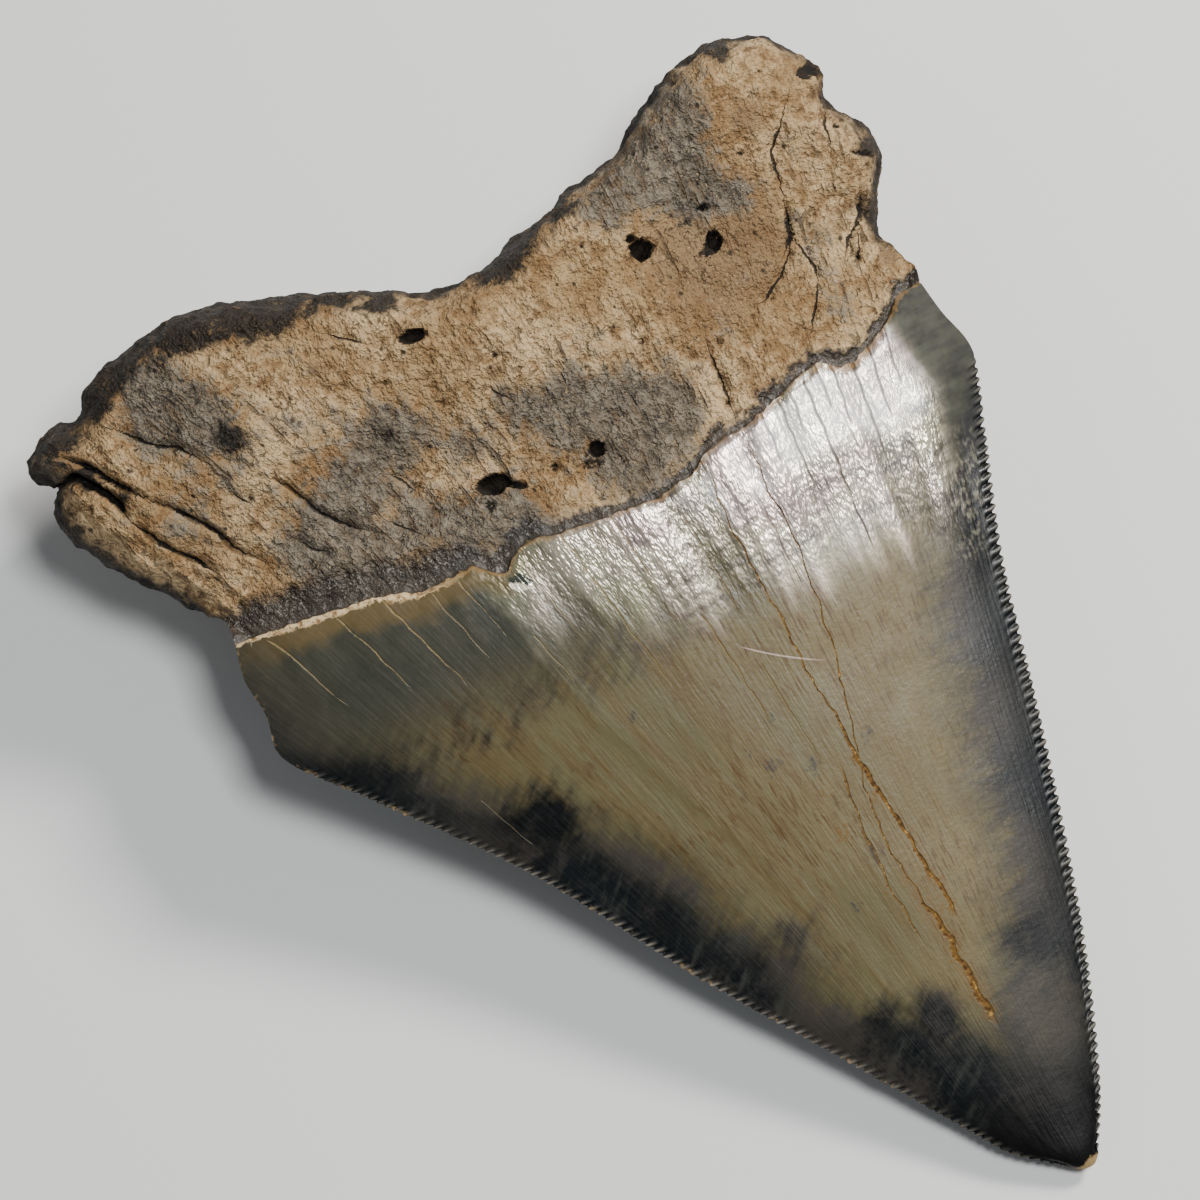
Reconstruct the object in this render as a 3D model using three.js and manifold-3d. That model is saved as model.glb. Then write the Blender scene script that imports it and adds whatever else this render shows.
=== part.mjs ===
import * as THREE from 'three'
import { mergeVertices } from 'three/addons/utils/BufferGeometryUtils.js'
import Module from 'manifold-3d'

// A fossil shark tooth: a two-lobed root, a neck and an enamel crown, grown as one piece.
// It lies on its tongue side with its flatter, lip side up.
// Lengths are in mm. The tooth is first drawn flat: X across it, Y from the neck towards
// the root, and W out of its upper face. Then it is tipped until its point and the bulge
// of its root both meet the surface that it lies on.

// Thickness of the crown, measured from the plane of its cutting edges
const CROWN_RISE = 2.4
const CROWN_DEPTH = 13
const TIP_RISE = 0.5
const TIP_DEPTH = 1.6
const TIP_ROUND = 0.04

// Thickness of the root
const ROOT_RISE = 1.6
const ROOT_DEPTH = 12.5
const BULGE_DEPTH = 9.5
const BULGE_Y = 5
const BULGE_HALF_WIDTH = 19
const BULGE_HALF_HEIGHT = 11
const LOBE_SWEEP = 2.6
const WALL_DEPTH = 6.5
const FACE_ROUND = 3
const BACK_ROUND = 10
const HALF_WIDTH = 37

// The edge of the enamel stands proud of the neck
const LEDGE_HEIGHT = 0.5
const LEDGE_ROUND = 1
const LEDGE_SHARE = 0.02
const NECK_SHARE = 0.3

// Serrations along both cutting edges
const SERRATION_PITCH = 0.83
const SERRATION_BAND = 1.3
const MOST_BAND_SHARE = 0.16
const SERRATION_NOTCH = 0.36
const SERRATION_RIDGE = 0.12
const WORN_SHARE = 0.7
const SHOULDER_LEFT = 12
const SHOULDER_RIGHT = 7.4
const SHOULDER_STEP = 1.4
const TIP_SMOOTH = 1.2

// The mesh
const CROWN_ROWS = 34
const FACE_COLUMNS = 22
const FIRST_COLUMN = 3.2
const MOST_COLUMN_SHARE = 0.3
const ROOT_ROWS = 14
const ROOT_FACE_SHARE = 0.9
const RIM_ROWS = [0.945, 0.975, 0.992, 1]
const OUTLINE_SAMPLES = 160
const ARC_SAMPLES = 600
const WELD = 1e-4

// How the tooth lies
const LIE_ANGLE = THREE.MathUtils.degToRad(13)
const CROWN_MIDDLE = -35
const BLOCK = 400

const LEFT_CORNER = [-32.4, 0]
const RIGHT_CORNER = [32.2, 0]
const LEFT_LOBE = [-41.1, 22.1]
const RIGHT_LOBE = [32.2, 22.5]
const TIP_LEFT = [8.7, -71.2]
const TIP_RIGHT = [11.2, -71.2]

const tipEnd = curveThrough([TIP_LEFT, [9.4, -71.7], [10.5, -71.8], TIP_RIGHT])

const leftEdge = curveThrough([
  TIP_LEFT, [4.6, -67.6], [1.4, -62.7], [-4.9, -52.8], [-11.3, -42.8], [-19.4, -28.8],
  [-28.7, -16.5], [-32.8, -11.2], [-33.5, -9.4], [-32.9, -6.5], [-33.1, -3], LEFT_CORNER,
])

const rightEdge = curveThrough([
  TIP_RIGHT, [13.7, -67], [18.2, -56.2], [22.3, -43.3], [25.1, -33], [27.6, -23.5],
  [31.2, -13.7], [33.4, -7], [32.6, -3], RIGHT_CORNER,
])

const rootLeft = curveThrough([
  LEFT_CORNER, [-32.3, 1.6], [-35.7, 6.2], [-38, 9.2], [-39.9, 12.5], [-40.8, 16.6],
  [-39.9, 18.7], [-41.4, 20.5], LEFT_LOBE,
])

const rootRight = curveThrough([
  RIGHT_CORNER, [32.5, 1.4], [31.5, 5.5], [33.4, 8.6], [35, 11.4], [34.3, 14.6],
  [32.7, 17.2], [33.4, 19.6], RIGHT_LOBE,
])

const rootTop = curveThrough([
  LEFT_LOBE, [-38.2, 23.7], [-35.5, 23.1], [-33.8, 24.8], [-29.7, 26.3], [-24.5, 27],
  [-19.4, 25.8], [-14.5, 23.7], [-7.7, 20.6], [-4.1, 18.4], [2.3, 18.6], [9.3, 20.6],
  [13.9, 21.3], [18.9, 23.9], [23.3, 25.7], [27, 25.9], [30.2, 24.7], RIGHT_LOBE,
])

// Where enamel meets root on the upper face, chipped in places
const faceNeck = curveThrough([
  LEFT_CORNER, [-25, -1.2], [-20.6, -2.1], [-16.4, -3.6], [-11.7, -3.8], [-9.8, -5.3],
  [-7.7, -4], [-2.8, -4.7], [1.5, -5.5], [7.1, -5.5], [10.2, -4.3], [15.2, -3.6],
  [20.9, -2.2], [23.5, -3.6], [27.5, -2.2], [30, -0.4], RIGHT_CORNER,
])

// The same line on the back dips towards the tip in a broad chevron
const backNeck = curveThrough([
  LEFT_CORNER, [-24, -4.6], [-12, -10.2], [0, -13.5], [12, -10.2], [24, -4.6], RIGHT_CORNER,
])

// Broad swells and hollows of the root: place, radius and height out of the surface
const FACE_SWELLS = [
  { x: -24, y: 13, radius: 8, height: 0.9 },
  { x: -35, y: 16, radius: 4, height: 0.8 },
  { x: -12, y: 4, radius: 7, height: -0.7 },
  { x: -3, y: 13, radius: 6, height: 0.7 },
  { x: 9, y: 5, radius: 7, height: 0.6 },
  { x: 18, y: 13, radius: 6, height: -0.6 },
  { x: 25, y: 21, radius: 5, height: 0.9 },
  { x: 29, y: 8, radius: 5, height: -0.8 },
]
const BACK_SWELLS = [
  { x: -27, y: 14, radius: 9, height: 1.2 },
  { x: 24, y: 14, radius: 8, height: 1.4 },
  { x: -14, y: 15, radius: 6, height: -1.2 },
  { x: 13, y: 15, radius: 6, height: -1 },
  { x: 0, y: 17, radius: 5, height: -1.6 },
]

// Openings of the root's small blood vessels
const FACE_PITS = [
  { x: -7, y: 1.5, half: [1.5, 0.8], depth: 2.2, turn: 25 },
  { x: 1.7, y: 0.3, half: [0.8, 0.7], depth: 1.4, turn: 0 },
  { x: 12.9, y: 13.3, half: [1.1, 1.1], depth: 2.2, turn: 0 },
  { x: 18.5, y: 11.1, half: [0.8, 0.8], depth: 1.8, turn: 0 },
  { x: -7.3, y: 15.7, half: [1, 0.6], depth: 1.4, turn: 20 },
  { x: 32.2, y: 20, half: [0.8, 0.7], depth: 1.2, turn: 0 },
]
const BACK_PITS = [
  { x: 0.5, y: 4, half: [1.4, 1.1], depth: 2.2, turn: 0 },
  { x: -13, y: 9, half: [0.9, 0.8], depth: 1.6, turn: 0 },
  { x: 15, y: 8, half: [0.9, 0.7], depth: 1.6, turn: 0 },
]

// Open cracks of the root: end points, width and depth
const FACE_CRACKS = [
  { from: [-38.5, 18.2], to: [-31.5, 12.2], width: 1.3, depth: 1.9 },
  { from: [-32.4, 12.6], to: [-27, 8.2], width: 0.7, depth: 1 },
  { from: [-34.5, 21.6], to: [-29.5, 17.2], width: 0.9, depth: 1.2 },
  { from: [-30.3, 17.6], to: [-25.2, 15.4], width: 0.6, depth: 0.9 },
  { from: [-28.5, 9.6], to: [-21.5, 4], width: 0.7, depth: 1 },
  { from: [-21.6, 9.8], to: [-14.6, 4.2], width: 0.6, depth: 0.9 },
  { from: [24, 21.5], to: [26.2, 12.2], width: 0.8, depth: 1.2 },
  { from: [26.1, 12.6], to: [27.8, 7.6], width: 0.7, depth: 1 },
  { from: [32.4, 12], to: [29.8, 7.8], width: 0.7, depth: 1 },
  { from: [14.2, 3.4], to: [14, -1.6], width: 0.7, depth: 1 },
]

function curveThrough(points) {
  const places = points.map(([x, y]) => new THREE.Vector3(x, y, 0))
  const curve = new THREE.CatmullRomCurve3(places, false, 'centripetal')
  curve.arcLengthDivisions = ARC_SAMPLES
  return curve
}

function smooth(from, to, value) {
  return THREE.MathUtils.smoothstep(value, from, to)
}

// A quarter round: 0 at the rim, 1 from the given width inwards
function roundOver(distance, width) {
  const left = 1 - Math.min(distance / width, 1)
  return Math.sqrt(1 - left * left)
}

function swell(list, x, y) {
  let total = 0
  for (const one of list) {
    const away = ((x - one.x) ** 2 + (y - one.y) ** 2) / one.radius ** 2
    total += one.height * Math.exp(-away)
  }
  return total
}

const rootRim = [rootLeft, rootTop, rootRight].map((curve) => curve.getSpacedPoints(OUTLINE_SAMPLES))

// Distance in the plane from a point to the free outline of the root
function rimDistance(x, y) {
  let best = Infinity
  for (const points of rootRim) {
    for (let i = 1; i < points.length; i++) {
      const a = points[i - 1]
      const b = points[i]
      const span = (b.x - a.x) ** 2 + (b.y - a.y) ** 2
      const along = ((x - a.x) * (b.x - a.x) + (y - a.y) * (b.y - a.y)) / span
      const share = THREE.MathUtils.clamp(along, 0, 1)
      const dx = x - a.x - share * (b.x - a.x)
      const dy = y - a.y - share * (b.y - a.y)
      best = Math.min(best, dx * dx + dy * dy)
    }
  }
  return Math.sqrt(best)
}

// A patch between four curves: s runs across from left to right, t from first to last
function patch(first, last, left, right) {
  const corners = [first.getPointAt(0), first.getPointAt(1), last.getPointAt(0), last.getPointAt(1)]
  return (s, t) => {
    const across = first.getPointAt(s).multiplyScalar(1 - t).addScaledVector(last.getPointAt(s), t)
    const along = left.getPointAt(t).multiplyScalar(1 - s).addScaledVector(right.getPointAt(t), s)
    return across
      .add(along)
      .addScaledVector(corners[0], -(1 - s) * (1 - t))
      .addScaledVector(corners[1], -s * (1 - t))
      .addScaledVector(corners[2], -(1 - s) * t)
      .addScaledVector(corners[3], -s * t)
  }
}

// Height of the crown above, or below, the plane of its edges
function crownHeight(side, s, t) {
  const lens = 1 - (2 * s - 1) ** 2
  const start = roundOver(t, TIP_ROUND)
  if (side > 0) return (TIP_RISE * start + (CROWN_RISE - TIP_RISE) * t) * lens
  return -(TIP_DEPTH * start + (CROWN_DEPTH - TIP_DEPTH) * t) * lens
}

function backDepth(x, y) {
  const bulge = Math.exp(-((x / BULGE_HALF_WIDTH) ** 2) - ((y - BULGE_Y) / BULGE_HALF_HEIGHT) ** 2)
  return ROOT_DEPTH + BULGE_DEPTH * bulge + swell(BACK_SWELLS, x, y)
}

function faceRise(x, y) {
  return ROOT_RISE - LOBE_SWEEP * (x / HALF_WIDTH) ** 2 + swell(FACE_SWELLS, x, y)
}

function rootHeight(side, s, t, x, y) {
  const onRim = s === 0 || s === 1 || t === 1
  const distance = onRim ? 0 : rimDistance(x, y)
  const wall = -WALL_DEPTH
  const far = side > 0 ? faceRise(x, y) : -backDepth(x, y)
  const width = side > 0 ? FACE_ROUND : BACK_ROUND
  const own = THREE.MathUtils.lerp(wall, far, roundOver(distance, width))
  const height = THREE.MathUtils.lerp(crownHeight(side, s, 1), own, smooth(0, NECK_SHARE, t))
  if (t === 0) return height
  return height - side * LEDGE_HEIGHT * roundOver(distance, LEDGE_ROUND) * (1 - smooth(0, 1, t))
}

// Places along a cutting edge, as shares of its length: half a serration apart, then wider
function edgeShares(curve, shoulder) {
  const length = curve.getLength()
  const count = Math.round((length - shoulder - TIP_SMOOTH) / SERRATION_PITCH)
  const shares = [{ t: 0, tooth: 0 }]
  for (let i = 0; i <= 2 * count; i++) {
    const along = TIP_SMOOTH + (i * SERRATION_PITCH) / 2
    shares.push({ t: along / length, tooth: i % 2 ? 1 : -1 })
  }
  const reached = TIP_SMOOTH + count * SERRATION_PITCH
  const steps = Math.ceil((length - reached) / SHOULDER_STEP)
  for (let i = 1; i <= steps; i++) {
    shares.push({ t: (reached + ((length - reached) * i) / steps) / length, tooth: 0 })
  }
  return shares
}

// Joins two chains of points with triangles, each chain rising in t
function stitch(out, a, b, flip) {
  let i = 0
  let j = 0
  while (i < a.length - 1 || j < b.length - 1) {
    const stepA = j === b.length - 1 || (i < a.length - 1 && a[i + 1].t <= b[j + 1].t)
    const corner = stepA ? a[i + 1] : b[j + 1]
    const triangle = [a[i].point, b[j].point, corner.point]
    if (flip) triangle.reverse()
    out.push(...triangle)
    if (stepA) i++
    else j++
  }
}

// One cutting edge: the zigzag edge, the ridged band inside it, and the join to the face
function serratedEdge(out, side, place, curve, isRight, innerChain) {
  const shares = edgeShares(curve, isRight ? SHOULDER_RIGHT : SHOULDER_LEFT)
  const bite = SERRATION_NOTCH * (isRight ? 1 : WORN_SHARE)
  const inward = isRight ? -1 : 1
  const chainAt = (inset) =>
    shares.map(({ t, tooth }) => {
      const width = place(1, t).distanceTo(place(0, t))
      const share = Math.min(inset / width, MOST_BAND_SHARE)
      const s = isRight ? 1 - share : share
      const point = place(s, t)
      const fade = Math.min(1, t / TIP_ROUND)
      point.z = crownHeight(side, s, t)
      if (inset === 0 && tooth < 0) point.addScaledVector(acrossAt(place, t), inward * bite * fade)
      if (inset > 0) point.z += side * tooth * SERRATION_RIDGE * fade
      return { t, point }
    })
  const rim = chainAt(0)
  const band = chainAt(SERRATION_BAND)
  stitch(out, rim, band, isRight === side > 0)
  stitch(out, band, innerChain, isRight === side > 0)
}

function acrossAt(place, t) {
  return place(1, t).sub(place(0, t)).normalize()
}

function columnShares(width) {
  const start = Math.min(FIRST_COLUMN / width, MOST_COLUMN_SHARE)
  const step = (1 - 2 * start) / FACE_COLUMNS
  return Array.from({ length: FACE_COLUMNS + 1 }, (_, j) => start + j * step)
}

function crownSheet(out, side, neck) {
  const place = patch(tipEnd, neck, leftEdge, rightEdge)
  const rows = []
  for (let i = 0; i <= CROWN_ROWS; i++) {
    const t = i / CROWN_ROWS
    const width = place(1, t).distanceTo(place(0, t))
    rows.push(columnShares(width).map((s) => {
      const point = place(s, t)
      point.z = crownHeight(side, s, t)
      return { t, point }
    }))
  }
  for (let j = 1; j <= FACE_COLUMNS; j++) {
    const left = rows.map((row) => row[j - 1])
    const right = rows.map((row) => row[j])
    stitch(out, left, right, side < 0)
  }
  serratedEdge(out, side, place, leftEdge, false, rows.map((row) => row[0]))
  serratedEdge(out, side, place, rightEdge, true, rows.map((row) => row[FACE_COLUMNS]))
}

function rootRows() {
  const rows = [0]
  for (let i = 0; i <= ROOT_ROWS; i++) {
    rows.push(THREE.MathUtils.lerp(LEDGE_SHARE, ROOT_FACE_SHARE, i / ROOT_ROWS))
  }
  return [...rows, ...RIM_ROWS]
}

function rootSheet(out, side, neck) {
  const place = patch(neck, rootTop, rootLeft, rootRight)
  const width = place(1, 0).distanceTo(place(0, 0))
  const band = SERRATION_BAND / width
  const across = [0, band, ...columnShares(width), 1 - band, 1]
  const chains = across.map((s) =>
    rootRows().map((t) => {
      const point = place(s, t)
      point.z = rootHeight(side, s, t, point.x, point.y)
      return { t, point }
    }),
  )
  for (let j = 1; j < chains.length; j++) stitch(out, chains[j - 1], chains[j], side < 0)
}

function geometryFrom(points) {
  const geometry = new THREE.BufferGeometry().setFromPoints(points)
  const merged = mergeVertices(geometry, WELD)
  return withoutSlivers(merged)
}

// Leaves out triangles whose corners fell together
function withoutSlivers(geometry) {
  const index = geometry.getIndex().array
  const kept = []
  for (let i = 0; i < index.length; i += 3) {
    const [a, b, c] = [index[i], index[i + 1], index[i + 2]]
    if (a !== b && b !== c && c !== a) kept.push(a, b, c)
  }
  geometry.setIndex(kept)
  return geometry
}

const wasm = await Module()
wasm.setup()

function solidOf(geometry) {
  const bare = geometry.clone()
  bare.deleteAttribute('normal')
  bare.deleteAttribute('uv')
  const merged = mergeVertices(bare, WELD)
  const mesh = new wasm.Mesh({
    numProp: 3,
    vertProperties: new Float32Array(merged.getAttribute('position').array),
    triVerts: new Uint32Array(merged.getIndex().array),
  })
  return new wasm.Manifold(mesh)
}

function geometryOf(solid) {
  const mesh = solid.getMesh()
  const geometry = new THREE.BufferGeometry()
  geometry.setAttribute('position', new THREE.BufferAttribute(mesh.vertProperties, 3))
  geometry.setIndex(new THREE.BufferAttribute(mesh.triVerts, 1))
  geometry.computeVertexNormals()
  return geometry
}

// Height of the drawn surface near a place, from its closest corner point
function surfaceNear(points, x, y) {
  let best = points[0]
  for (const point of points) {
    if (Math.hypot(point.x - x, point.y - y) < Math.hypot(best.x - x, best.y - y)) best = point
  }
  return best.z
}

function pitCutter(points, { x, y, half, depth, turn }) {
  const cutter = new THREE.IcosahedronGeometry(1, 1)
  cutter.scale(half[0], half[1], depth)
  cutter.rotateZ(THREE.MathUtils.degToRad(turn))
  cutter.translate(x, y, surfaceNear(points, x, y))
  return solidOf(cutter)
}

function crackCutter(points, { from, to, width, depth }) {
  const run = new THREE.Vector2(to[0] - from[0], to[1] - from[1])
  const x = (from[0] + to[0]) / 2
  const y = (from[1] + to[1]) / 2
  const cutter = new THREE.OctahedronGeometry(1)
  cutter.scale(run.length() / 2, width / 2, depth)
  cutter.rotateZ(run.angle())
  cutter.translate(x, y, surfaceNear(points, x, y))
  return solidOf(cutter)
}

function toothShape() {
  const face = []
  crownSheet(face, 1, faceNeck)
  rootSheet(face, 1, faceNeck)
  const back = []
  crownSheet(back, -1, backNeck)
  rootSheet(back, -1, backNeck)
  let solid = solidOf(geometryFrom([...face, ...back]))
  for (const pit of FACE_PITS) solid = solid.subtract(pitCutter(face, pit))
  for (const pit of BACK_PITS) solid = solid.subtract(pitCutter(back, pit))
  for (const crack of FACE_CRACKS) solid = solid.subtract(crackCutter(face, crack))
  return geometryOf(solid)
}

// Lowest height of the corner points that lie nearer the tip than a given place
function lowestTowardsTip(geometry, limit) {
  const position = geometry.getAttribute('position')
  let lowest = Infinity
  for (let i = 0; i < position.count; i++) {
    if (position.getY(i) < limit) lowest = Math.min(lowest, position.getZ(i))
  }
  return lowest
}

// Tips the tooth on to its back, and takes the flat spot off the bulge of its root
function laidDown(geometry) {
  geometry.rotateX(LIE_ANGLE)
  geometry.translate(0, 0, -lowestTowardsTip(geometry, CROWN_MIDDLE))
  const below = new THREE.BoxGeometry(BLOCK, BLOCK, BLOCK)
  below.translate(0, CROWN_MIDDLE + BLOCK / 2, -BLOCK / 2)
  const resting = geometryOf(solidOf(geometry).subtract(solidOf(below)))
  resting.computeBoundingBox()
  const centre = resting.boundingBox.getCenter(new THREE.Vector3())
  resting.translate(-centre.x, -centre.y, -resting.boundingBox.min.z)
  return resting
}

function stoneMaterial() {
  return new THREE.MeshStandardMaterial({ color: 0x9a8468, roughness: 0.7, metalness: 0 })
}

const tooth = new THREE.Mesh(laidDown(toothShape()), stoneMaterial())
tooth.name = 'tooth'

const model = new THREE.Group()
model.add(tooth)

export default model
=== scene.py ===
import math

import bpy
import numpy as np
from bpy.props import FloatProperty, FloatVectorProperty, IntProperty, PointerProperty
from mathutils import Matrix, Vector, noise


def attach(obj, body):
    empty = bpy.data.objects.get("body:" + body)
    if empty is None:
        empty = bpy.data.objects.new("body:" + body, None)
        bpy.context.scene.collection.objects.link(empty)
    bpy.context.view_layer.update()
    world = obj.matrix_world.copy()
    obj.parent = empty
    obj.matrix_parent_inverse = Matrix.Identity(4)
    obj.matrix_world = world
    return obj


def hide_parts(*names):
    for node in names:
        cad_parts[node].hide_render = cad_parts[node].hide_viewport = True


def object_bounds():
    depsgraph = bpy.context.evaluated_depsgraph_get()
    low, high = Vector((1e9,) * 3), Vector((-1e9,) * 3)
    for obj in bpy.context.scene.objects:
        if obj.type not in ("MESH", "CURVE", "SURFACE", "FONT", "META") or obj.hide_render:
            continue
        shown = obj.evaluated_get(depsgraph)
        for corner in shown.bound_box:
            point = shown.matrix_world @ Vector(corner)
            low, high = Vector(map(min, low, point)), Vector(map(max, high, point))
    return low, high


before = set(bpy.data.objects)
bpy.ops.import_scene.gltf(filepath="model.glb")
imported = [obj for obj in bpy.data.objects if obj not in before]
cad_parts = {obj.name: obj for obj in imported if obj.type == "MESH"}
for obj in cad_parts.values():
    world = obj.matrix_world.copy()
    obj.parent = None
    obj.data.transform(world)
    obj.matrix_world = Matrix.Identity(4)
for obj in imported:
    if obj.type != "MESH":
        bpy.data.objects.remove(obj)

bl_info = {
    "name": "Fossil shark tooth",
    "version": (1, 0, 0),
    "blender": (4, 5, 0),
    "location": "3D View > Sidebar > Fossil tooth",
    "description": "Models and finishes a large fossil shark tooth, and sets its stage",
    "category": "Object",
}

CAD_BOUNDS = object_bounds()
NODE = "tooth"
BODY = "root"
PIECE = "fossil_tooth"
MM = 0.001

# The tooth is drawn flat in mm: X across it, Y from the neck towards the root, and W out
# of its face. Then it is tipped on to its back, as the solid that it stands for is.
LIE_ANGLE = math.radians(13)
CROWN_MIDDLE = -35

# How the camera looks down on it: the turn about its own axis, and where that points, in m
VIEW_TURN = math.radians(28)
VIEW_CENTRE = (-0.0006, 0.0104, 0.0152)

# How far the face rises above the drawn plane and the back lies below it, and where they
# round over towards the tip and the rim
CROWN_RISE = 2.4
CROWN_DEPTH = 13
TIP_RISE = 0.5
TIP_DEPTH = 1.6
TIP_ROUND = 0.04
ROOT_RISE = 1.6
ROOT_DEPTH = 12.5
BULGE_DEPTH = 9.5
BULGE_Y = 5
BULGE_HALF_WIDTH = 19
BULGE_HALF_HEIGHT = 11
LOBE_SWEEP = 2.6
WALL_DEPTH = 6.5
FACE_ROUND = 3
BACK_ROUND = 10
HALF_WIDTH = 37
LEDGE_HEIGHT = 0.5
LEDGE_SHARE = 0.004
NECK_SHARE = 0.3
CROWN_LENGTH = 70
ROOT_LENGTH = 24
NECK_WIDTH = 65

# Heights of the root's lumps, grain and broken rim, and of the enamel's waves and folds,
# and how the enamel's broken edge drops and wanders
LUMP = 0.4
SMALL_LUMP = 0.22
GRAIN = 0.26
FINE_GRAIN = 0.14
FINE_LUMP = 0.1
BROKEN_RIM = 0.35
WAVE = 0.1
FOLD = 0.06
EDGE_DROP = 0.12
EDGE_WANDER = 0.3
EDGE_FINE_WANDER = 0.14
EDGE_REACH = 1.6

# The dark band between enamel and root: its width on the face and on the back, how far the
# face's is sunk, and the low ridge beyond that
BAND_LEFT = 2.7
BAND_RIGHT = 0.95
BAND_BACK = 1.7
BAND_SINK = 0.16
BAND_RIDGE = 0.1

# Serrations: their spacing, the strip that they take up, how far they are bitten in and
# raised, how they drift and wear, and how far from the neck and the tip they fade
SERRATION_PITCH = 0.83
SERRATION_BAND = 1.25
SERRATION_NOTCH = 0.42
SERRATION_RIDGE = 0.2
SERRATION_WANDER = 0.5
LEAST_WEAR = 0.25
MOST_WEAR = 1.15
WORN_SHARE = 0.7
SHOULDER_LEFT = 12
SHOULDER_RIGHT = 7.4
TIP_SMOOTH = 1.2

# The mesh: columns across both sheets, rows along the crown and the root
COLUMNS = 88
CROWN_ROWS = 120
ROOT_ROWS = 56
ROWS = CROWN_ROWS + ROOT_ROWS
NECK_LINE = 2 * CROWN_ROWS / ROWS - 1
BAND_COLUMNS = 2
BAND_CUTS = 4
ROOT_CUTS = 2
RIM_COLUMNS = 10
CROWN_RIM = 5.5
ROOT_RIM = 4.2
RIM_MOST = 0.3
RIM_ROWS = 11
RIM_ROW_SHARE = 0.17
CURVE_STEPS = 24
SHARP_ANGLE = math.radians(65)

# What counts as no distance on the flat sheets
CLOSE = 1e-4

LEFT_CORNER = (-32.4, 0)
RIGHT_CORNER = (32.2, 0)
LEFT_LOBE = (-41.1, 22.1)
RIGHT_LOBE = (32.2, 22.5)
TIP_LEFT = (8.7, -71.2)
TIP_RIGHT = (11.2, -71.2)
TIP_END = (TIP_LEFT, (9.4, -71.7), (10.5, -71.8), TIP_RIGHT)
LEFT_EDGE = (
    TIP_LEFT, (4.6, -67.6), (1.4, -62.7), (-4.9, -52.8), (-11.3, -42.8), (-19.4, -28.8),
    (-28.7, -16.5), (-32.8, -11.2), (-33.5, -9.4), (-32.9, -6.5), (-33.1, -3), LEFT_CORNER,
)
RIGHT_EDGE = (
    TIP_RIGHT, (13.7, -67), (18.2, -56.2), (22.3, -43.3), (25.1, -33), (27.6, -23.5),
    (31.2, -13.7), (33.4, -7), (32.6, -3), RIGHT_CORNER,
)
ROOT_LEFT = (
    LEFT_CORNER, (-32.3, 1.6), (-35.7, 6.2), (-38, 9.2), (-39.9, 12.5), (-40.8, 16.6),
    (-39.9, 18.7), (-41.4, 20.5), LEFT_LOBE,
)
ROOT_RIGHT = (
    RIGHT_CORNER, (32.5, 1.4), (31.5, 5.5), (33.4, 8.6), (35, 11.4), (34.3, 14.6),
    (32.7, 17.2), (33.4, 19.6), RIGHT_LOBE,
)
ROOT_TOP = (
    LEFT_LOBE, (-38.2, 23.7), (-35.5, 23.1), (-33.8, 24.8), (-29.7, 26.3), (-24.5, 27),
    (-19.4, 25.8), (-14.5, 23.7), (-7.7, 20.6), (-4.1, 18.4), (2.3, 18.6), (9.3, 20.6),
    (13.9, 21.3), (18.9, 23.9), (23.3, 25.7), (27, 25.9), (30.2, 24.7), RIGHT_LOBE,
)
FACE_NECK = (
    LEFT_CORNER, (-25, -1.2), (-20.6, -2.1), (-16.4, -3.6), (-11.7, -3.8), (-9.8, -5.3),
    (-7.7, -4), (-2.8, -4.7), (1.5, -5.5), (7.1, -5.5), (10.2, -4.3), (15.2, -3.6),
    (20.9, -2.2), (23.5, -3.6), (27.5, -2.2), (30, -0.4), RIGHT_CORNER,
)
BACK_NECK = (
    LEFT_CORNER, (-24, -4.6), (-12, -10.2), (0, -13.5), (12, -10.2), (24, -4.6), RIGHT_CORNER,
)

# Broad swells of the root: x, y, radius, height
FACE_SWELLS = (
    (-24, 13, 8, 0.9), (-35, 16, 4, 0.8), (-12, 4, 7, -0.7), (-3, 13, 6, 0.7),
    (9, 5, 7, 0.6), (18, 13, 6, -0.6), (25, 21, 5, 0.9), (29, 8, 5, -0.8),
)
BACK_SWELLS = (
    (-27, 14, 9, 1.2), (24, 14, 8, 1.4), (-14, 15, 6, -1.2), (13, 15, 6, -1), (0, 17, 5, -1.6),
)

# Openings of blood vessels: x, y, half length, half width, depth, turn in degrees
FACE_PITS = (
    (-7, 1.6, 1.5, 0.85, 2.2, -12), (-5.2, 0.6, 0.9, 0.35, 0.8, -38),
    (-8.1, 0.1, 0.8, 0.5, 0.5, 0), (1.7, 0.3, 0.75, 0.65, 1.5, 30), (0.9, -0.7, 0.6, 0.5, 0.5, 0),
    (12.9, 13.1, 1.05, 1, 2.2, 0), (12.4, 14.4, 0.45, 0.4, 1.2, 0),
    (18.5, 11.1, 0.85, 0.75, 1.9, 60), (17.6, 10.6, 0.7, 0.5, 0.7, 0),
    (19.1, 13.9, 0.45, 0.35, 0.9, 0), (-7.3, 15.7, 1, 0.6, 1.5, 0), (32.2, 20, 0.9, 0.6, 1, 40),
    (24.1, 16.2, 0.35, 0.3, 0.6, 0), (32.4, 14.8, 0.35, 0.3, 0.6, 0),
    (33.1, 11.7, 0.8, 0.25, 0.5, -40),
)
BACK_PITS = (
    (0.5, 4, 1.4, 1.1, 2.2, 0), (-13, 9, 1, 0.85, 1.6, 0), (15, 8, 1, 0.8, 1.6, 0),
    (-4, 8.5, 0.7, 0.6, 0.8, 0), (6.5, 10.5, 0.8, 0.6, 0.8, 20), (-24, 15, 0.7, 0.6, 0.7, 0),
)

# Where the seeded pores lie, and how large they are
PORE_X = (-39, 33)
PORE_Y = (-2, 26)
PORE_LEAST = 0.24
PORE_SPREAD = 0.26
PORE_DEPTH = 1.1
PORE_TURN = 20

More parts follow.
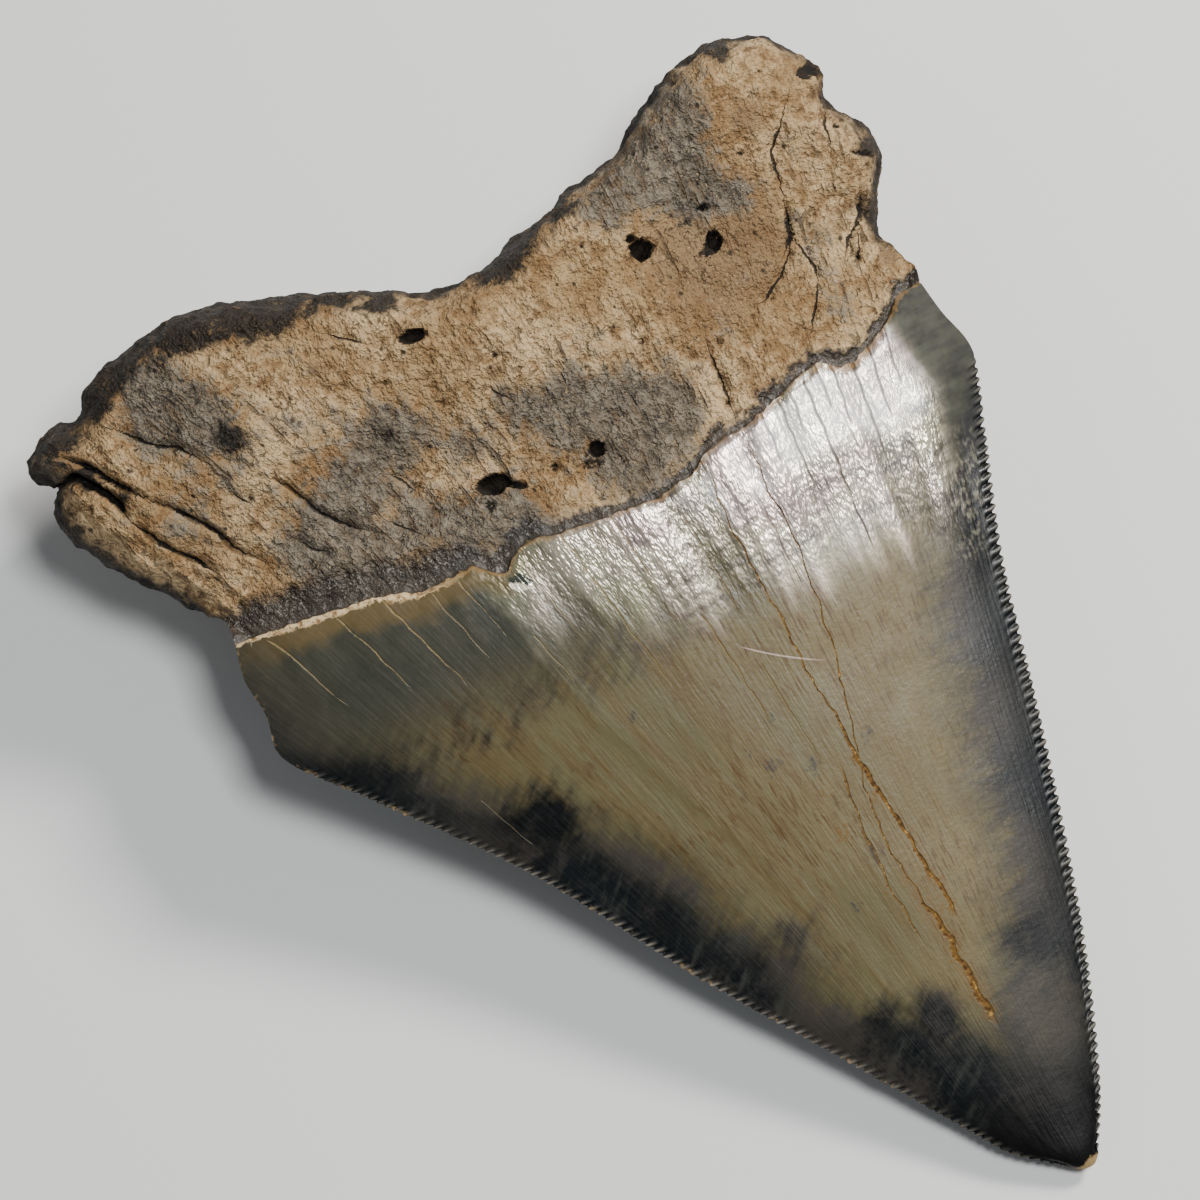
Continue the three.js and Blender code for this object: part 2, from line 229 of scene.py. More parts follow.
# Open cracks of the root: half width, depth, and the points they run through. The mesh bends
# over at least the least width; the finish draws a crack thinner than the full width thinner.
LEAST_FURROW = 0.45
FULL_FURROW = 0.3
FURROW_TAPER = 0.2
LINE_TAPER = 0.25
CRACK_LISTS = 3
FACE_CRACKS = (
    (0.55, 1.5, ((-40.6, 18.9), (-38, 18.7), (-36.8, 17.2), (-35.9, 15.2), (-35.2, 13.2))),
    (0.4, 0.8, ((-35.2, 13.2), (-34.4, 11.4), (-33.3, 9.4), (-31.9, 7.6), (-30.6, 5.4))),
    (0.5, 1, ((-38.1, 20.8), (-36.3, 18.8), (-34.9, 16.4), (-33.2, 14.3))),
    (0.4, 0.8, ((-33.2, 14.3), (-31, 11.6), (-29.3, 8.9), (-28.8, 7.2), (-27, 5))),
    (0.34, 0.6, ((-33.4, 21.2), (-31.5, 19), (-30.5, 17.8), (-28.9, 16.8), (-27.1, 14.1))),
    (0.3, 0.5, ((-23.6, 11.4), (-22.2, 9.4), (-21, 6.5), (-19.3, 4.2), (-17.2, 2.5))),
    (0.22, 0.25, ((-26.9, 11.3), (-25.6, 9.6))),
    (0.22, 0.25, ((-23.9, 5.6), (-22.9, 4), (-21.4, 2.8))),
    (0.22, 0.25, ((-13.7, 19.4), (-12.4, 18.2), (-10.7, 16.8))),
    (0.22, 0.25, ((-14.5, 6.6), (-13.7, 5.6), (-12.9, 3.8))),
    (0.3, 0.4, ((14.2, 3.9), (13.9, 2.3), (13.7, 0.8), (13.5, -1), (13.2, -2.7))),
    (0.22, 0.25, ((-3.8, 9.2), (-3.2, 8.1), (-2.2, 6.9))),
    (0.22, 0.25, ((2.2, 7.5), (2.2, 6))),
    (0.22, 0.25, ((6.4, 3.3), (6.5, 1.5))),
    (0.22, 0.25, ((-16.5, 3.4), (-14.2, 0.7))),
    (0.26, 0.4, ((30, 19), (27.8, 16.6), (26.4, 15.2), (25.8, 12.9), (25.4, 11.2))),
    (0.5, 0.9, ((25.4, 11.2), (25, 9.6), (24.6, 8.3), (23.4, 7.4))),
    (0.3, 0.4, ((24.6, 8.3), (24.9, 6.8), (25.2, 5.1), (24.7, 4))),
    (0.3, 0.5, ((24.6, 8.3), (23.6, 7), (22.5, 6), (20.4, 4.8), (18.9, 4.4))),
    (0.3, 0.45, ((24.7, 4), (24.2, 3.1), (23.1, 1.7), (21.8, 0))),
    (0.4, 0.7, ((31.6, 9.2), (31, 7.2), (28.6, 5.8), (27.4, 4.3))),
    (0.26, 0.4, ((30.1, 6.4), (29.3, 4.9), (28.2, 3.9))),
    (0.22, 0.3, ((30, 5.9), (28.7, 6.1), (28, 5.2))),
    (0.22, 0.25, ((32.2, 16.7), (31.5, 15.4), (31.3, 14.3), (30.7, 12.9))),
)
BACK_CRACKS = (
    (0.45, 0.9, ((-33, 20), (-29, 14), (-25, 8), (-22, 3))),
    (0.4, 0.7, ((28, 20), (25, 14), (24, 8))),
    (0.4, 0.6, ((-12, 16), (-10, 11), (-6, 8))),
    (0.4, 0.6, ((8, 15), (9, 9), (7, 3))),
)

# Stains, x, y, radius, strength: those below y = -20 lie on the crown, where dark ones are
# smudges, grey ones the blackest parts of the margin, and brown ones spots of ochre. On the
# root, some dark ones are painted shade over black crust.
DARK_STAINS_AND_SHADE = (
    (2.4, -29.8, 0.9, 1), (5.3, -31.3, 0.9, 1), (6.5, -40.5, 0.9, 1), (10.5, -31.3, 0.8, 0.9),
    (3, -43.5, 0.6, 0.9), (1.2, -28, 0.6, 0.8), (4.4, -26.4, 0.7, 0.8), (-6, -20.8, 0.6, 0.9),
    (-19.3, 24.8, 3, 1), (-26.3, 26.8, 3, 1), (-22.4, 26, 3, 1), (-15.4, 23.4, 2.5, 1),
    (-11.5, 21.8, 2, 1), (-8, 20.3, 2, 1), (4, 19, 2.6, 1.1), (0.6, 18.2, 2.4, 0.9),
    (8.7, 19.8, 2, 0.8), (-3.6, 18.6, 1.6, 0.7), (26.4, 25.3, 1.6, 1.1), (-24.4, 15.3, 1.6, 0.9),
    (-33, 23.8, 2.2, 0.9), (-37.5, 22.5, 2.5, 0.7), (-12.8, 9.3, 1.3, 0.45), (34, 12, 1.5, 0.9),
    (-30.6, 25.4, 2, 0.8), (12.6, 14, 1, 0.5), (18.6, 11.4, 0.9, 0.5),
    # This line and the next: along the lower left edge and beside the crack at the left lobe's end,
    # partly black crust and partly painted shade
    (-40.8, 14.6, 1.7, 1), (-40, 11.6, 1.7, 1), (-38.3, 8.8, 1.7, 1), (-36.2, 6.2, 1.5, 1),
    (-34.3, 3.8, 1.3, 1), (-33, 1.8, 1.1, 1), (-37, 18.2, 1.7, 0.9), (-35, 15.2, 1.3, 0.8),
    (-40.6, 20, 1.3, 0.6), (-38.6, 22.4, 1.5, 0.6),
    (-33.9, 12.5, 1.1, 0.6), (17.6, 13.6, 0.8, 0.6), (19.6, 15.4, 0.8, 0.5),
)
GREY_STAINS = (
    (-16, -25, 3.4, 1.2), (-19.5, -25.5, 2.4, 0.8), (-11.9, -36.9, 3, 0.7), (-3.1, -43, 2.2, 0.8),
    (0.6, -52.4, 2, 0.8), (4.6, -53.5, 2.2, 0.9), (5, -56.2, 2, 0.8), (13.6, -52.7, 2.4, 1.05),
    (-27.4, 20.9, 3, 0.8), (-29.2, 22.8, 2.4, 0.8), (-30.1, 19.3, 2.6, 0.9), (-26, 17.7, 2, 0.7),
    (-11.9, 9.3, 3, 0.9), (-20.3, 5.4, 3, 1), (-13.6, 1.8, 3.2, 0.9), (-16.4, 7.6, 3, 0.9),
    (-7.1, 5.9, 2.6, 0.7), (5.5, 2.9, 4.4, 0.9), (9.1, -0.4, 3, 0.9), (1.1, 5.3, 2.8, 0.8),
    (4.2, -2.6, 3, 0.8), (-2.3, 6.1, 2.2, 0.6), (21.3, 21.9, 3.2, 1), (16.7, 18.9, 3.2, 1),
    (11.8, 18.4, 2.8, 0.9), (19.6, 17.1, 2.6, 0.8), (-24, 4, 2.4, 0.7), (14, 4, 3, 0.5),
    (-25, 16, 6, 0.5), (-31, 11, 5, 0.35), (-18, 12, 5, 0.3), (0, 1, 5, 0.4), (-8, -1, 3, 0.5),
    (-39.6, 20.8, 2, 1), (19.2, 14.6, 2.4, 0.9), (22.6, 13.6, 1.9, 0.8), (26.6, 7.4, 1.7, 0.8),
    (25.6, 2, 2.4, 0.5), (-22, 3.2, 2.6, 0.8), (-18, 1.2, 2.4, 0.8), (-10, -0.5, 2.4, 0.8),
    (-6, -2, 2.2, 0.7),
)
BROWN_STAINS = (
    (4.9, -37.4, 0.9, 1), (9.9, -44.6, 0.8, 1), (9.8, -46.8, 0.8, 0.9), (8.3, -43, 0.7, 0.9),
    (5.8, -43.6, 0.8, 0.8), (8.8, -36, 0.7, 0.9), (8.8, -32.2, 0.7, 0.8), (6.2, -46, 0.6, 0.8),
    (8.5, -51, 0.7, 0.9), (5, -34, 0.6, 0.8),
    (18.6, 10.4, 6.5, 1.1), (-28, 2.4, 0.9, 1), (31, 3.1, 1, 1), (25.8, 18.8, 1.6, 0.8),
    (-2.5, 9.8, 0.9, 0.9), (-15.7, 17, 0.9, 0.8), (1.6, -0.2, 1.1, 0.9), (-5.4, 0.4, 1, 0.8),
    (-30, 8, 4, 0.5), (-20, 10, 3, 0.4), (29, 15, 3, 0.4), (4, 11, 3, 0.35),
)

# The tooth's fibres fan out from a point beyond its tip
FAN_X = 10
FAN_LENGTH = 100

# Fine cracks of the enamel: which fibre each follows, counted in mm across the neck from the
# middle one, where it starts and ends, and how strongly it shows
FISSURES = (
    (-40, 1, 9, 0.8), (-38.4, 21, 26.5, 0.2), (-34.4, 2, 10, 1), (-30.5, 2, 12, 1),
    (-27, 4, 11, 0.5), (-24.4, 4, 10, 0.8), (-22.4, 11, 16, 0.6), (-19, 5, 13, 0.35),
    (-14.8, 4, 20, 0.9), (-12.6, 4, 9, 0.5), (-10.3, 5, 12, 0.8), (-8.2, 16, 28, 0.8),
    (-5.6, 22, 32, 0.6), (-4.8, 8, 18, 0.6), (-1.2, 4, 12, 0.8), (2, 9, 18, 0.7),
    (5.4, 3, 8, 0.8), (7.2, 2, 11, 1), (8.4, 3, 7, 0.8), (10, 2, 18, 1), (11.3, 2, 6, 0.8),
    (12.6, 2, 8, 0.9), (14.5, 2, 12, 1), (16.2, 2, 9, 0.9), (18, 2, 7, 0.9),
)

FIRST_FIBRE = -50
TABLE_SPAN = 80

# The long cracks of the enamel, each as points x, y
CROWN_CRACK_A = (
    (9.2, -5.6), (8.7, -10.1), (8.6, -13.4), (8.8, -19.9), (8.5, -24.4), (9, -28.2),
    (8.9, -32.8), (9.4, -36.3), (9.7, -43.9), (10.1, -45), (9.9, -48),
)
CROWN_CRACK_B = (
    (13, -4.3), (12.9, -15.1), (11.6, -22.9), (9.9, -29.6), (8.3, -35.3), (7.7, -39), (8, -42.9),
    (8.3, -46.8), (8.8, -49.6), (8.5, -51.2), (8.8, -57.6),
)
CROWN_CRACK_C = ((7.3, -32.5), (6.6, -38), (6.3, -43.9), (6.6, -46.3), (6.5, -48.5))

# A scratch across the crown, and a chip in the enamel's edge, as x, y
SCRATCH_START = (4.4, -19.6)
SCRATCH_COURSE = (0.8, -0.6)
SCRATCH_LENGTH = 8
SCRATCH_BOW = 0.13
CHIP_PLACE = (-9, -6.6)


def centripetal_points(points):
    """Points of a smooth centripetal curve through the given ones."""
    places = np.array(points, float)
    first = 2 * places[0] - places[1]
    last = 2 * places[-1] - places[-2]
    padded = np.vstack([first, places, last])
    made = [places[0]]
    for p0, p1, p2, p3 in zip(padded, padded[1:], padded[2:], padded[3:]):
        gaps = [math.sqrt(math.dist(a, b)) for a, b in ((p0, p1), (p1, p2), (p2, p3))]
        start = (p1 - p0) / gaps[0] - (p2 - p0) / (gaps[0] + gaps[1]) + (p2 - p1) / gaps[1]
        end = (p2 - p1) / gaps[1] - (p3 - p1) / (gaps[1] + gaps[2]) + (p3 - p2) / gaps[2]
        start, end = start * gaps[1], end * gaps[1]
        for step in range(1, CURVE_STEPS + 1):
            u = step / CURVE_STEPS
            bend = 3 * (p2 - p1) - 2 * start - end
            turn = 2 * (p1 - p2) + start + end
            made.append(p1 + u * start + u**2 * bend + u**3 * turn)
    return np.array(made)


class Outline:
    """A smooth line, read by the share of its length."""

    def __init__(self, points):
        self.points = centripetal_points(points)
        steps = np.hypot(*np.diff(self.points, axis=0).T)
        self.along = np.concatenate([[0], np.cumsum(steps)])
        self.length = self.along[-1]

    def at(self, share):
        reach = np.asarray(share) * self.length
        x = np.interp(reach, self.along, self.points[:, 0])
        y = np.interp(reach, self.along, self.points[:, 1])
        return np.stack([x, y], axis=-1)


def smooth(low, high, value):
    share = np.clip((value - low) / (high - low), 0, 1)
    return share * share * (3 - 2 * share)


def round_over(distance, width):
    left = 1 - np.minimum(distance / width, 1)
    return np.sqrt(np.maximum(1 - left * left, 0))


def swells(listed, x, y):
    total = np.zeros_like(x)
    for cx, cy, radius, height in listed:
        total += height * np.exp(-((x - cx) ** 2 + (y - cy) ** 2) / radius**2)
    return total


def line_distance(points, x, y):
    """Distance from each place to a chain of straight steps, the share along it, and side."""
    best = np.full(x.shape, np.inf)
    where = np.zeros_like(x)
    side = np.ones_like(x)
    count = len(points) - 1
    for i in range(count):
        a, b = np.array(points[i]), np.array(points[i + 1])
        run = b - a
        span = float(run @ run)
        share = np.clip(((x - a[0]) * run[0] + (y - a[1]) * run[1]) / span, 0, 1)
        away = np.hypot(x - a[0] - share * run[0], y - a[1] - share * run[1])
        closer = away < best
        best = np.where(closer, away, best)
        where = np.where(closer, (i + share) / count, where)
        turned = run[0] * (y - a[1]) - run[1] * (x - a[0])
        side = np.where(closer, np.where(turned < 0, -1, 1), side)
    return best, where, side


def patch(first, last, left, right, s, t):
    """Places between four lines: s runs from left to right, t from first to last."""
    s, t = s[:, None], t[:, None]
    across = first.at(s[:, 0]) * (1 - t) + last.at(s[:, 0]) * t
    along = left.at(t[:, 0]) * (1 - s) + right.at(t[:, 0]) * s
    start = first.at(0) * (1 - s) + first.at(1) * s
    end = last.at(0) * (1 - s) + last.at(1) * s
    return across + along - start * (1 - t) - end * t


def crown_height(side, s, t):
    lens = 1 - (2 * s - 1) ** 2
    start = round_over(t, TIP_ROUND)
    face = (TIP_RISE * start + (CROWN_RISE - TIP_RISE) * t) * lens
    back = -(TIP_DEPTH * start + (CROWN_DEPTH - TIP_DEPTH) * t) * lens
    return np.where(side > 0, face, back)


def root_height(side, s, t, x, y, distance):
    bulge = np.exp(-((x / BULGE_HALF_WIDTH) ** 2) - ((y - BULGE_Y) / BULGE_HALF_HEIGHT) ** 2)
    depth = ROOT_DEPTH + BULGE_DEPTH * bulge + swells(BACK_SWELLS, x, y)
    rise = ROOT_RISE - LOBE_SWEEP * (x / HALF_WIDTH) ** 2 + swells(FACE_SWELLS, x, y)
    far = np.where(side > 0, rise, -depth)
    width = np.where(side > 0, FACE_ROUND, BACK_ROUND)
    own = -WALL_DEPTH + (far + WALL_DEPTH) * round_over(distance, width)
    share = smooth(0, NECK_SHARE, t)
    height = crown_height(side, s, np.ones_like(s)) * (1 - share) + own * share
    ledge = side * LEDGE_HEIGHT * round_over(distance, 1) * (1 - smooth(0, 1, t))
    return height - ledge * smooth(0, LEDGE_SHARE, t)


def rough(points, size, octaves, seed=0.0):
    """Fractal noise of about -1 to 1, with lumps of the given size in mm."""
    shifted = (points / size + seed).tolist()
    made = (noise.fractal(Vector(place), 1.0, 2.0, octaves) for place in shifted)
    return np.fromiter(made, float, len(points))


def hollows(listed, x, y):
    """Depth of the deepest of the listed bowls at each place."""
    deepest = np.zeros_like(x)
    for cx, cy, half_length, half_width, depth, turn in listed:
        near = np.flatnonzero((abs(x - cx) < 2 * half_length) & (abs(y - cy) < 2 * half_length))
        angle = math.radians(turn)
        dx, dy = x[near] - cx, y[near] - cy
        along = (dx * math.cos(angle) + dy * math.sin(angle)) / half_length
        across = (dy * math.cos(angle) - dx * math.sin(angle)) / half_width
        bowl = depth * np.sqrt(np.maximum(1 - along**2 - across**2, 0))
        deepest[near] = np.maximum(deepest[near], bowl)
    return deepest


def furrows(listed, x, y):
    """Depth of the deepest of the listed cracks at each place."""
    deepest = np.zeros_like(x)
    for half_width, depth, points in listed:
        away, along, _ = line_distance(points, x, y)
        taper = 0.3 + 0.7 * np.minimum(1, np.minimum(along, 1 - along) / FURROW_TAPER)
        width = max(half_width, LEAST_FURROW) * taper
        cut = depth * taper * np.maximum(1 - away / width, 0)
        deepest = np.maximum(deepest, cut)
    return deepest


def crack_offsets(listed, x, y):
    """How far each place lies beside the nearest crack, one way or the other: the cracks
    are shared out over three lists. Thin cracks and the ends of cracks count as further."""
    offsets = []
    for start in range(CRACK_LISTS):
        nearest = np.full(x.shape, np.inf)
        for half_width, _, points in listed[start::CRACK_LISTS]:
            away, along, side = line_distance(points, x, y)
            ending = 1 - np.minimum(1, np.minimum(along, 1 - along) / LINE_TAPER)
            offset = side * (away + 0.5 * ending) * FULL_FURROW / half_width
            nearest = np.where(abs(offset) < abs(nearest), offset, nearest)
        offsets.append(nearest)
    return offsets


def seeded_pores(count, seed):
    """Small pits strewn over the root's face, drawn out towards the tip."""
    random = np.random.default_rng(seed)
    pores = []
    for _ in range(count):
        x, y = random.uniform(*PORE_X), random.uniform(*PORE_Y)
        half_length = PORE_LEAST + PORE_SPREAD * random.random() ** 3
        half_width = half_length * random.uniform(0.6, 1)
        turn = math.degrees(math.atan2(y + FAN_LENGTH, x - FAN_X)) + random.normal(0, PORE_TURN)
        pores.append((x, y, half_length, half_width, half_length * PORE_DEPTH, turn))
    return pores


class Sheets:
    """The corner points of both sheets: where they lie on them, and where that puts them."""

    def __init__(self, flat):
        self.tip = Outline(TIP_END)
        self.left = Outline(LEFT_EDGE)
        self.right = Outline(RIGHT_EDGE)
        self.root_left = Outline(ROOT_LEFT)
        self.root_right = Outline(ROOT_RIGHT)
        self.root_top = Outline(ROOT_TOP)
        self.necks = {1: Outline(FACE_NECK), -1: Outline(BACK_NECK)}
        rows = (flat[:, 1] + 1) / 2 * ROWS
        self.side = np.where(flat[:, 2] < -CLOSE, -1, 1)
        self.in_root = rows > CROWN_ROWS + CLOSE
        self.t = np.where(self.in_root, root_share(rows - CROWN_ROWS), rows / CROWN_ROWS)
        self.s = self.column_share((flat[:, 0] + 1) / 2 * COLUMNS)
        self.xy = self.place(self.s)
        self.on_rim = (abs(flat[:, 0]) > 1 - CLOSE) | (flat[:, 1] > 1 - CLOSE)

    def place(self, s):
        places = np.zeros((len(s), 2))
        for value, neck in self.necks.items():
            crown = (self.side == value) & ~self.in_root
            root = (self.side == value) & self.in_root
            lines = (self.tip, neck, self.left, self.right)
            places[crown] = patch(*lines, s[crown], self.t[crown])
            lines = (neck, self.root_top, self.root_left, self.root_right)
            places[root] = patch(*lines, s[root], self.t[root])
        return places

    def column_share(self, column):
        """Share of the way across, with the columns closer together near both edges."""
        ends = self.place(np.ones(len(column))) - self.place(np.zeros(len(column)))
        self.width = np.hypot(*ends.T)
        self.across = ends / self.width[:, None]
        from_edge = np.minimum(column, COLUMNS - column)
        inset = np.interp(from_edge, [0, BAND_COLUMNS, RIM_COLUMNS], [0, SERRATION_BAND, CROWN_RIM])
        crown = self.inner_share(from_edge, inset, CROWN_RIM)
        turn = np.minimum(from_edge / RIM_COLUMNS, 1) * math.pi / 2
        root = self.inner_share(from_edge, ROOT_RIM * (1 - np.cos(turn)), ROOT_RIM)
        mixed = crown + (root - crown) * np.where(self.in_root, smooth(0, 0.15, self.t), 0)
        return np.where(column < COLUMNS / 2, mixed, 1 - mixed)

    def inner_share(self, from_edge, inset, rim):
        edge = np.minimum(rim / self.width, RIM_MOST)
        beyond = np.maximum(from_edge - RIM_COLUMNS, 0) / (COLUMNS / 2 - RIM_COLUMNS)
        return inset / rim * edge + beyond * (0.5 - edge)

    def rim_distance(self):
        x, y = self.xy.T
        lines = (self.root_left, self.root_top, self.root_right)
        distances = [line_distance(line.points, x, y)[0] for line in lines]
        return np.where(self.on_rim, 0, np.min(distances, axis=0))

    def heights(self, rim):
        x, y = self.xy.T
        root = root_height(self.side, self.s, self.t, x, y, rim)
        return np.where(self.in_root, root, crown_height(self.side, self.s, self.t))

    def past_neck(self):
        """Distance from the end of the enamel: below 0 on the crown, above 0 on the root."""
        return np.where(self.in_root, self.t * ROOT_LENGTH, (self.t - 1) * CROWN_LENGTH)

    def from_edges(self):
        return self.s * self.width, (1 - self.s) * self.width


def root_share(row):
    """Share of the way up the root, with a thin first row for the enamel's broken edge."""
    last = ROOT_ROWS - RIM_ROWS
    turn = np.clip((row - last) / RIM_ROWS, 0, 1) * math.pi / 2
    inner = np.interp(row, [0, 1, last], [0, LEDGE_SHARE, 1 - RIM_ROW_SHARE])
    return np.where(row > last, 1 - RIM_ROW_SHARE * (1 - np.sin(turn)), inner)


def serrations(sheets):
    """How far each place of the crown's edges is bitten inward, and raised out of the face."""
    bite = np.zeros(len(sheets.s))
    lift = np.zeros(len(sheets.s))
    left, right = sheets.from_edges()
    for distance, line, shoulder, share, sense, seed in (
        (left, sheets.left, SHOULDER_LEFT, WORN_SHARE, 1, 3.0),
        (right, sheets.right, SHOULDER_RIGHT, 1, -1, 9.0),
    ):
        along = sheets.t * line.length
        inset = np.clip(1 - distance / SERRATION_BAND, 0, 1)
        ends = smooth(0, TIP_SMOOTH, along) * smooth(0, 1.5, line.length - shoulder - along)
        near = np.flatnonzero((inset > 0) & (ends > 0) & ~sheets.in_root)
        places = np.stack([along[near], along[near] * 0, along[near] * 0 + seed], axis=1)
        drift = rough(places, 6, 2) * SERRATION_WANDER
        wear = 0.85 + 0.5 * rough(places, 1.7, 2, 5.0)
        wave = 0.5 + 0.5 * np.cos(2 * math.pi * (along[near] / SERRATION_PITCH + drift))
        tooth = wave**0.6
        strength = ends[near] * share * np.clip(wear, LEAST_WEAR, MOST_WEAR)
        bite[near] += sense * SERRATION_NOTCH * (1 - tooth) * strength * inset[near]
        fade = smooth(0, 0.9, inset[near])
        lift[near] += SERRATION_RIDGE * (tooth - 0.6) * strength * fade
    return bite, lift


def neck_band(sheets, past):
    """The sunken dark band between enamel and root on the face, and the low ridge past it."""
    width = BAND_LEFT + (BAND_RIGHT - BAND_LEFT) * smooth(0.15, 0.75, sheets.s)
    inside = smooth(0, 0.2, past) * (1 - smooth(width * 0.8, width * 1.15, past))
    ridge = np.exp(-(((past - width * 1.25) / 0.45) ** 2))
    return np.where(sheets.side > 0, BAND_RIDGE * ridge - BAND_SINK * inside, 0)


def root_relief(sheets, points, past, rim, settings):
    """Height out of the root's surface, and the depth of its pits and of its cracks."""
    x, y = points[:, 0], points[:, 1]
    wander = 0.4 * rough(points, 2.4, 2, 31.0) + 0.2 * rough(points, 0.8, 2, 37.0)
    wx, wy = x + wander, y - 0.7 * wander
    face = sheets.side > 0
    pores = seeded_pores(settings.pore_count, settings.pore_seed)
    pit = np.where(face, hollows(FACE_PITS, wx, wy), hollows(BACK_PITS, wx, wy))
    pore = np.where(face, hollows(pores, x, y), 0)
    crack = np.where(face, furrows(FACE_CRACKS, wx, wy), furrows(BACK_CRACKS, wx, wy))
    fan = fan_of(x, y)
    grain = np.stack([fan / 1.5, y / 6, points[:, 2] / 5], axis=1)
    fine_grain = np.stack([fan / 0.7, y / 2.6, points[:, 2] / 3], axis=1)
    height = LUMP * rough(points, 7, 3) + SMALL_LUMP * rough(points, 2.3, 3, 11.0)
    height += GRAIN * (0.3 - abs(rough(grain, 1, 2, 41.0)))
    fine = FINE_GRAIN * (0.3 - abs(rough(fine_grain, 1, 2, 43.0)))
    fine += FINE_LUMP * rough(points, 0.7, 2, 23.0)
    broken = BROKEN_RIM * rough(points, 4, 4, 53.0) * np.exp(-rim / 2)
    inside = smooth(0.2, 3, past)
    height = ((height + broken) * (0.3 + 0.7 * inside) + fine) * settings.roughness
    height += neck_band(sheets, past)
    pit, pore, crack = pit * inside, pore * inside, crack * smooth(-0.5, 0.5, past)
    lobe = np.minimum(*(np.hypot(x - cx, y - cy) for cx, cy in (LEFT_LOBE, RIGHT_LOBE)))
    height *= smooth(0, 1.5, lobe)
    lines = (crack_offsets(listed, x, y) for listed in (FACE_CRACKS, BACK_CRACKS))
    lines = [np.where(face, on_face, on_back) for on_face, on_back in zip(*lines)]
    return height - pit - pore - crack, pit + pore, crack, lines


def crown_relief(sheets, points, past):
    """Slow waves of the enamel, and the small folds that it has near the neck."""
    folds = np.stack([sheets.s * NECK_WIDTH / 1.6, past / 9, points[:, 2] / 9], axis=1)
    near = smooth(-16, -2, past)
    waves = WAVE * rough(points, 11, 2, 3.0) + FOLD * near * rough(folds, 1, 2, 17.0)
    edge = np.minimum(*sheets.from_edges())
    rising = smooth(0, 0.25, -past)
    drop = EDGE_DROP * (1 - rising) * (1 + rough(points, 0.6, 2, 7.0))
    return waves * smooth(0, 3, edge) - drop


def fan_of(x, y):
    """Which of the fanning fibres runs through a place, in mm across the neck."""
    return (x - FAN_X) / (y + FAN_LENGTH) * FAN_LENGTH


def attribute(mesh, name, columns):
    made = mesh.attributes.new(name, "FLOAT_VECTOR", "POINT")
    made.data.foreach_set("vector", np.stack(columns, axis=1).astype(np.float32).ravel())


def read(mesh, name="co"):
    values = np.zeros(len(mesh.vertices) * 3, np.float32)
    mesh.vertices.foreach_get(name, values)
    return values.reshape(-1, 3).astype(float)


def write(mesh, points):
    mesh.vertices.foreach_set("co", points.astype(np.float32).ravel())
    mesh.update()


def laid_down(points, base):
    """Tips drawn places on to the floor, where the undecorated ones show how far to move."""
    turn = np.array(Matrix.Rotation(LIE_ANGLE, 3, "X"))
    turned_base = base @ turn.T
    lowest = turned_base[turned_base[:, 1] < CROWN_MIDDLE, 2].min()
    middle = (turned_base.min(0) + turned_base.max(0)) / 2
    wanted = (np.array(CAD_BOUNDS[0]) + np.array(CAD_BOUNDS[1])) / 2 / MM
    moved = points @ turn.T + np.array([*(wanted - middle)[:2], -lowest])
    moved[:, 2] = np.maximum(moved[:, 2], 0)
    return moved * MM


def crown_cracks(x, y):
    """Distance of each place to the right of the three long cracks of the enamel."""
    offsets = []
    for points in (CROWN_CRACK_A, CROWN_CRACK_B, CROWN_CRACK_C):
        line = np.array(points[::-1])
        offsets.append(x - np.interp(y, line[:, 1], line[:, 0]))
    return offsets


def shape_tooth(tooth, settings):
    """Bends the two joined sheets into the tooth, and stores what its finish reads."""
    mesh = tooth.data
    sheets = Sheets(read(mesh))
    rim = sheets.rim_distance()
    past = sheets.past_neck()
    face = sheets.side > 0
    base = np.column_stack([sheets.xy, sheets.heights(rim)])
    ragged = EDGE_WANDER * rough(base, 1.8, 2, 13.0)
    ragged += EDGE_FINE_WANDER * rough(base, 0.55, 2, 19.0)
    points = base.copy()
    inner = smooth(0, 2, np.minimum(*sheets.from_edges()))
    points[:, 1] += ragged * np.exp(-((past / EDGE_REACH) ** 2)) * inner
    bite, lift = serrations(sheets)
    points[:, :2] += sheets.across * bite[:, None]
    points[:, 2] += sheets.side * lift
    write(mesh, points)
    normal = read(mesh, "normal")
    root, pit, crack, lines = root_relief(sheets, base, past, rim, settings)
    in_root = sheets.in_root & (past > 0)
    height = np.where(in_root, root, crown_relief(sheets, base, past))
    height = np.where(in_root & sheets.on_rim & (past < 1), 0, height)
    points += normal * height[:, None]
    write(mesh, laid_down(points, base))
    x, y = base[:, 0], base[:, 1]
    attribute(mesh, "drawn", (x, y, base[:, 2]))
    attribute(mesh, "grain", (fan_of(x, y), past, sheets.side.astype(float)))
    attribute(mesh, "edge", (*sheets.from_edges(), lift))
    cracks = zip(lines, crown_cracks(x, y))
    attribute(mesh, "cracks", [np.where(in_root, line, crack) for line, crack in cracks])
    spare = np.zeros_like(x)
    relief = (np.where(in_root, pit, spare), np.where(in_root, crack, spare), spare)
    attribute(mesh, "relief", relief)
    shown = np.where(sheets.in_root, smooth(-10, -WALL_DEPTH, base[:, 2]), face)
    lists = (DARK_STAINS_AND_SHADE, GREY_STAINS, BROWN_STAINS)
    attribute(mesh, "stains", [swells(listed, x, y) * shown for listed in lists])


def paint(red, green, blue):
    """A colour given as screen values from 0 to 255."""
    linear = []
    for value in (red, green, blue):
        share = value / 255
        linear.append(share / 12.92 if share < 0.04045 else ((share + 0.055) / 1.055) ** 2.4)
    return (*linear, 1)


def feed(tree, socket, value):
    if isinstance(value, Value):
        tree.links.new(value.socket, socket)
    elif isinstance(value, bpy.types.NodeSocket):
        tree.links.new(value, socket)
    else:
        socket.default_value = value


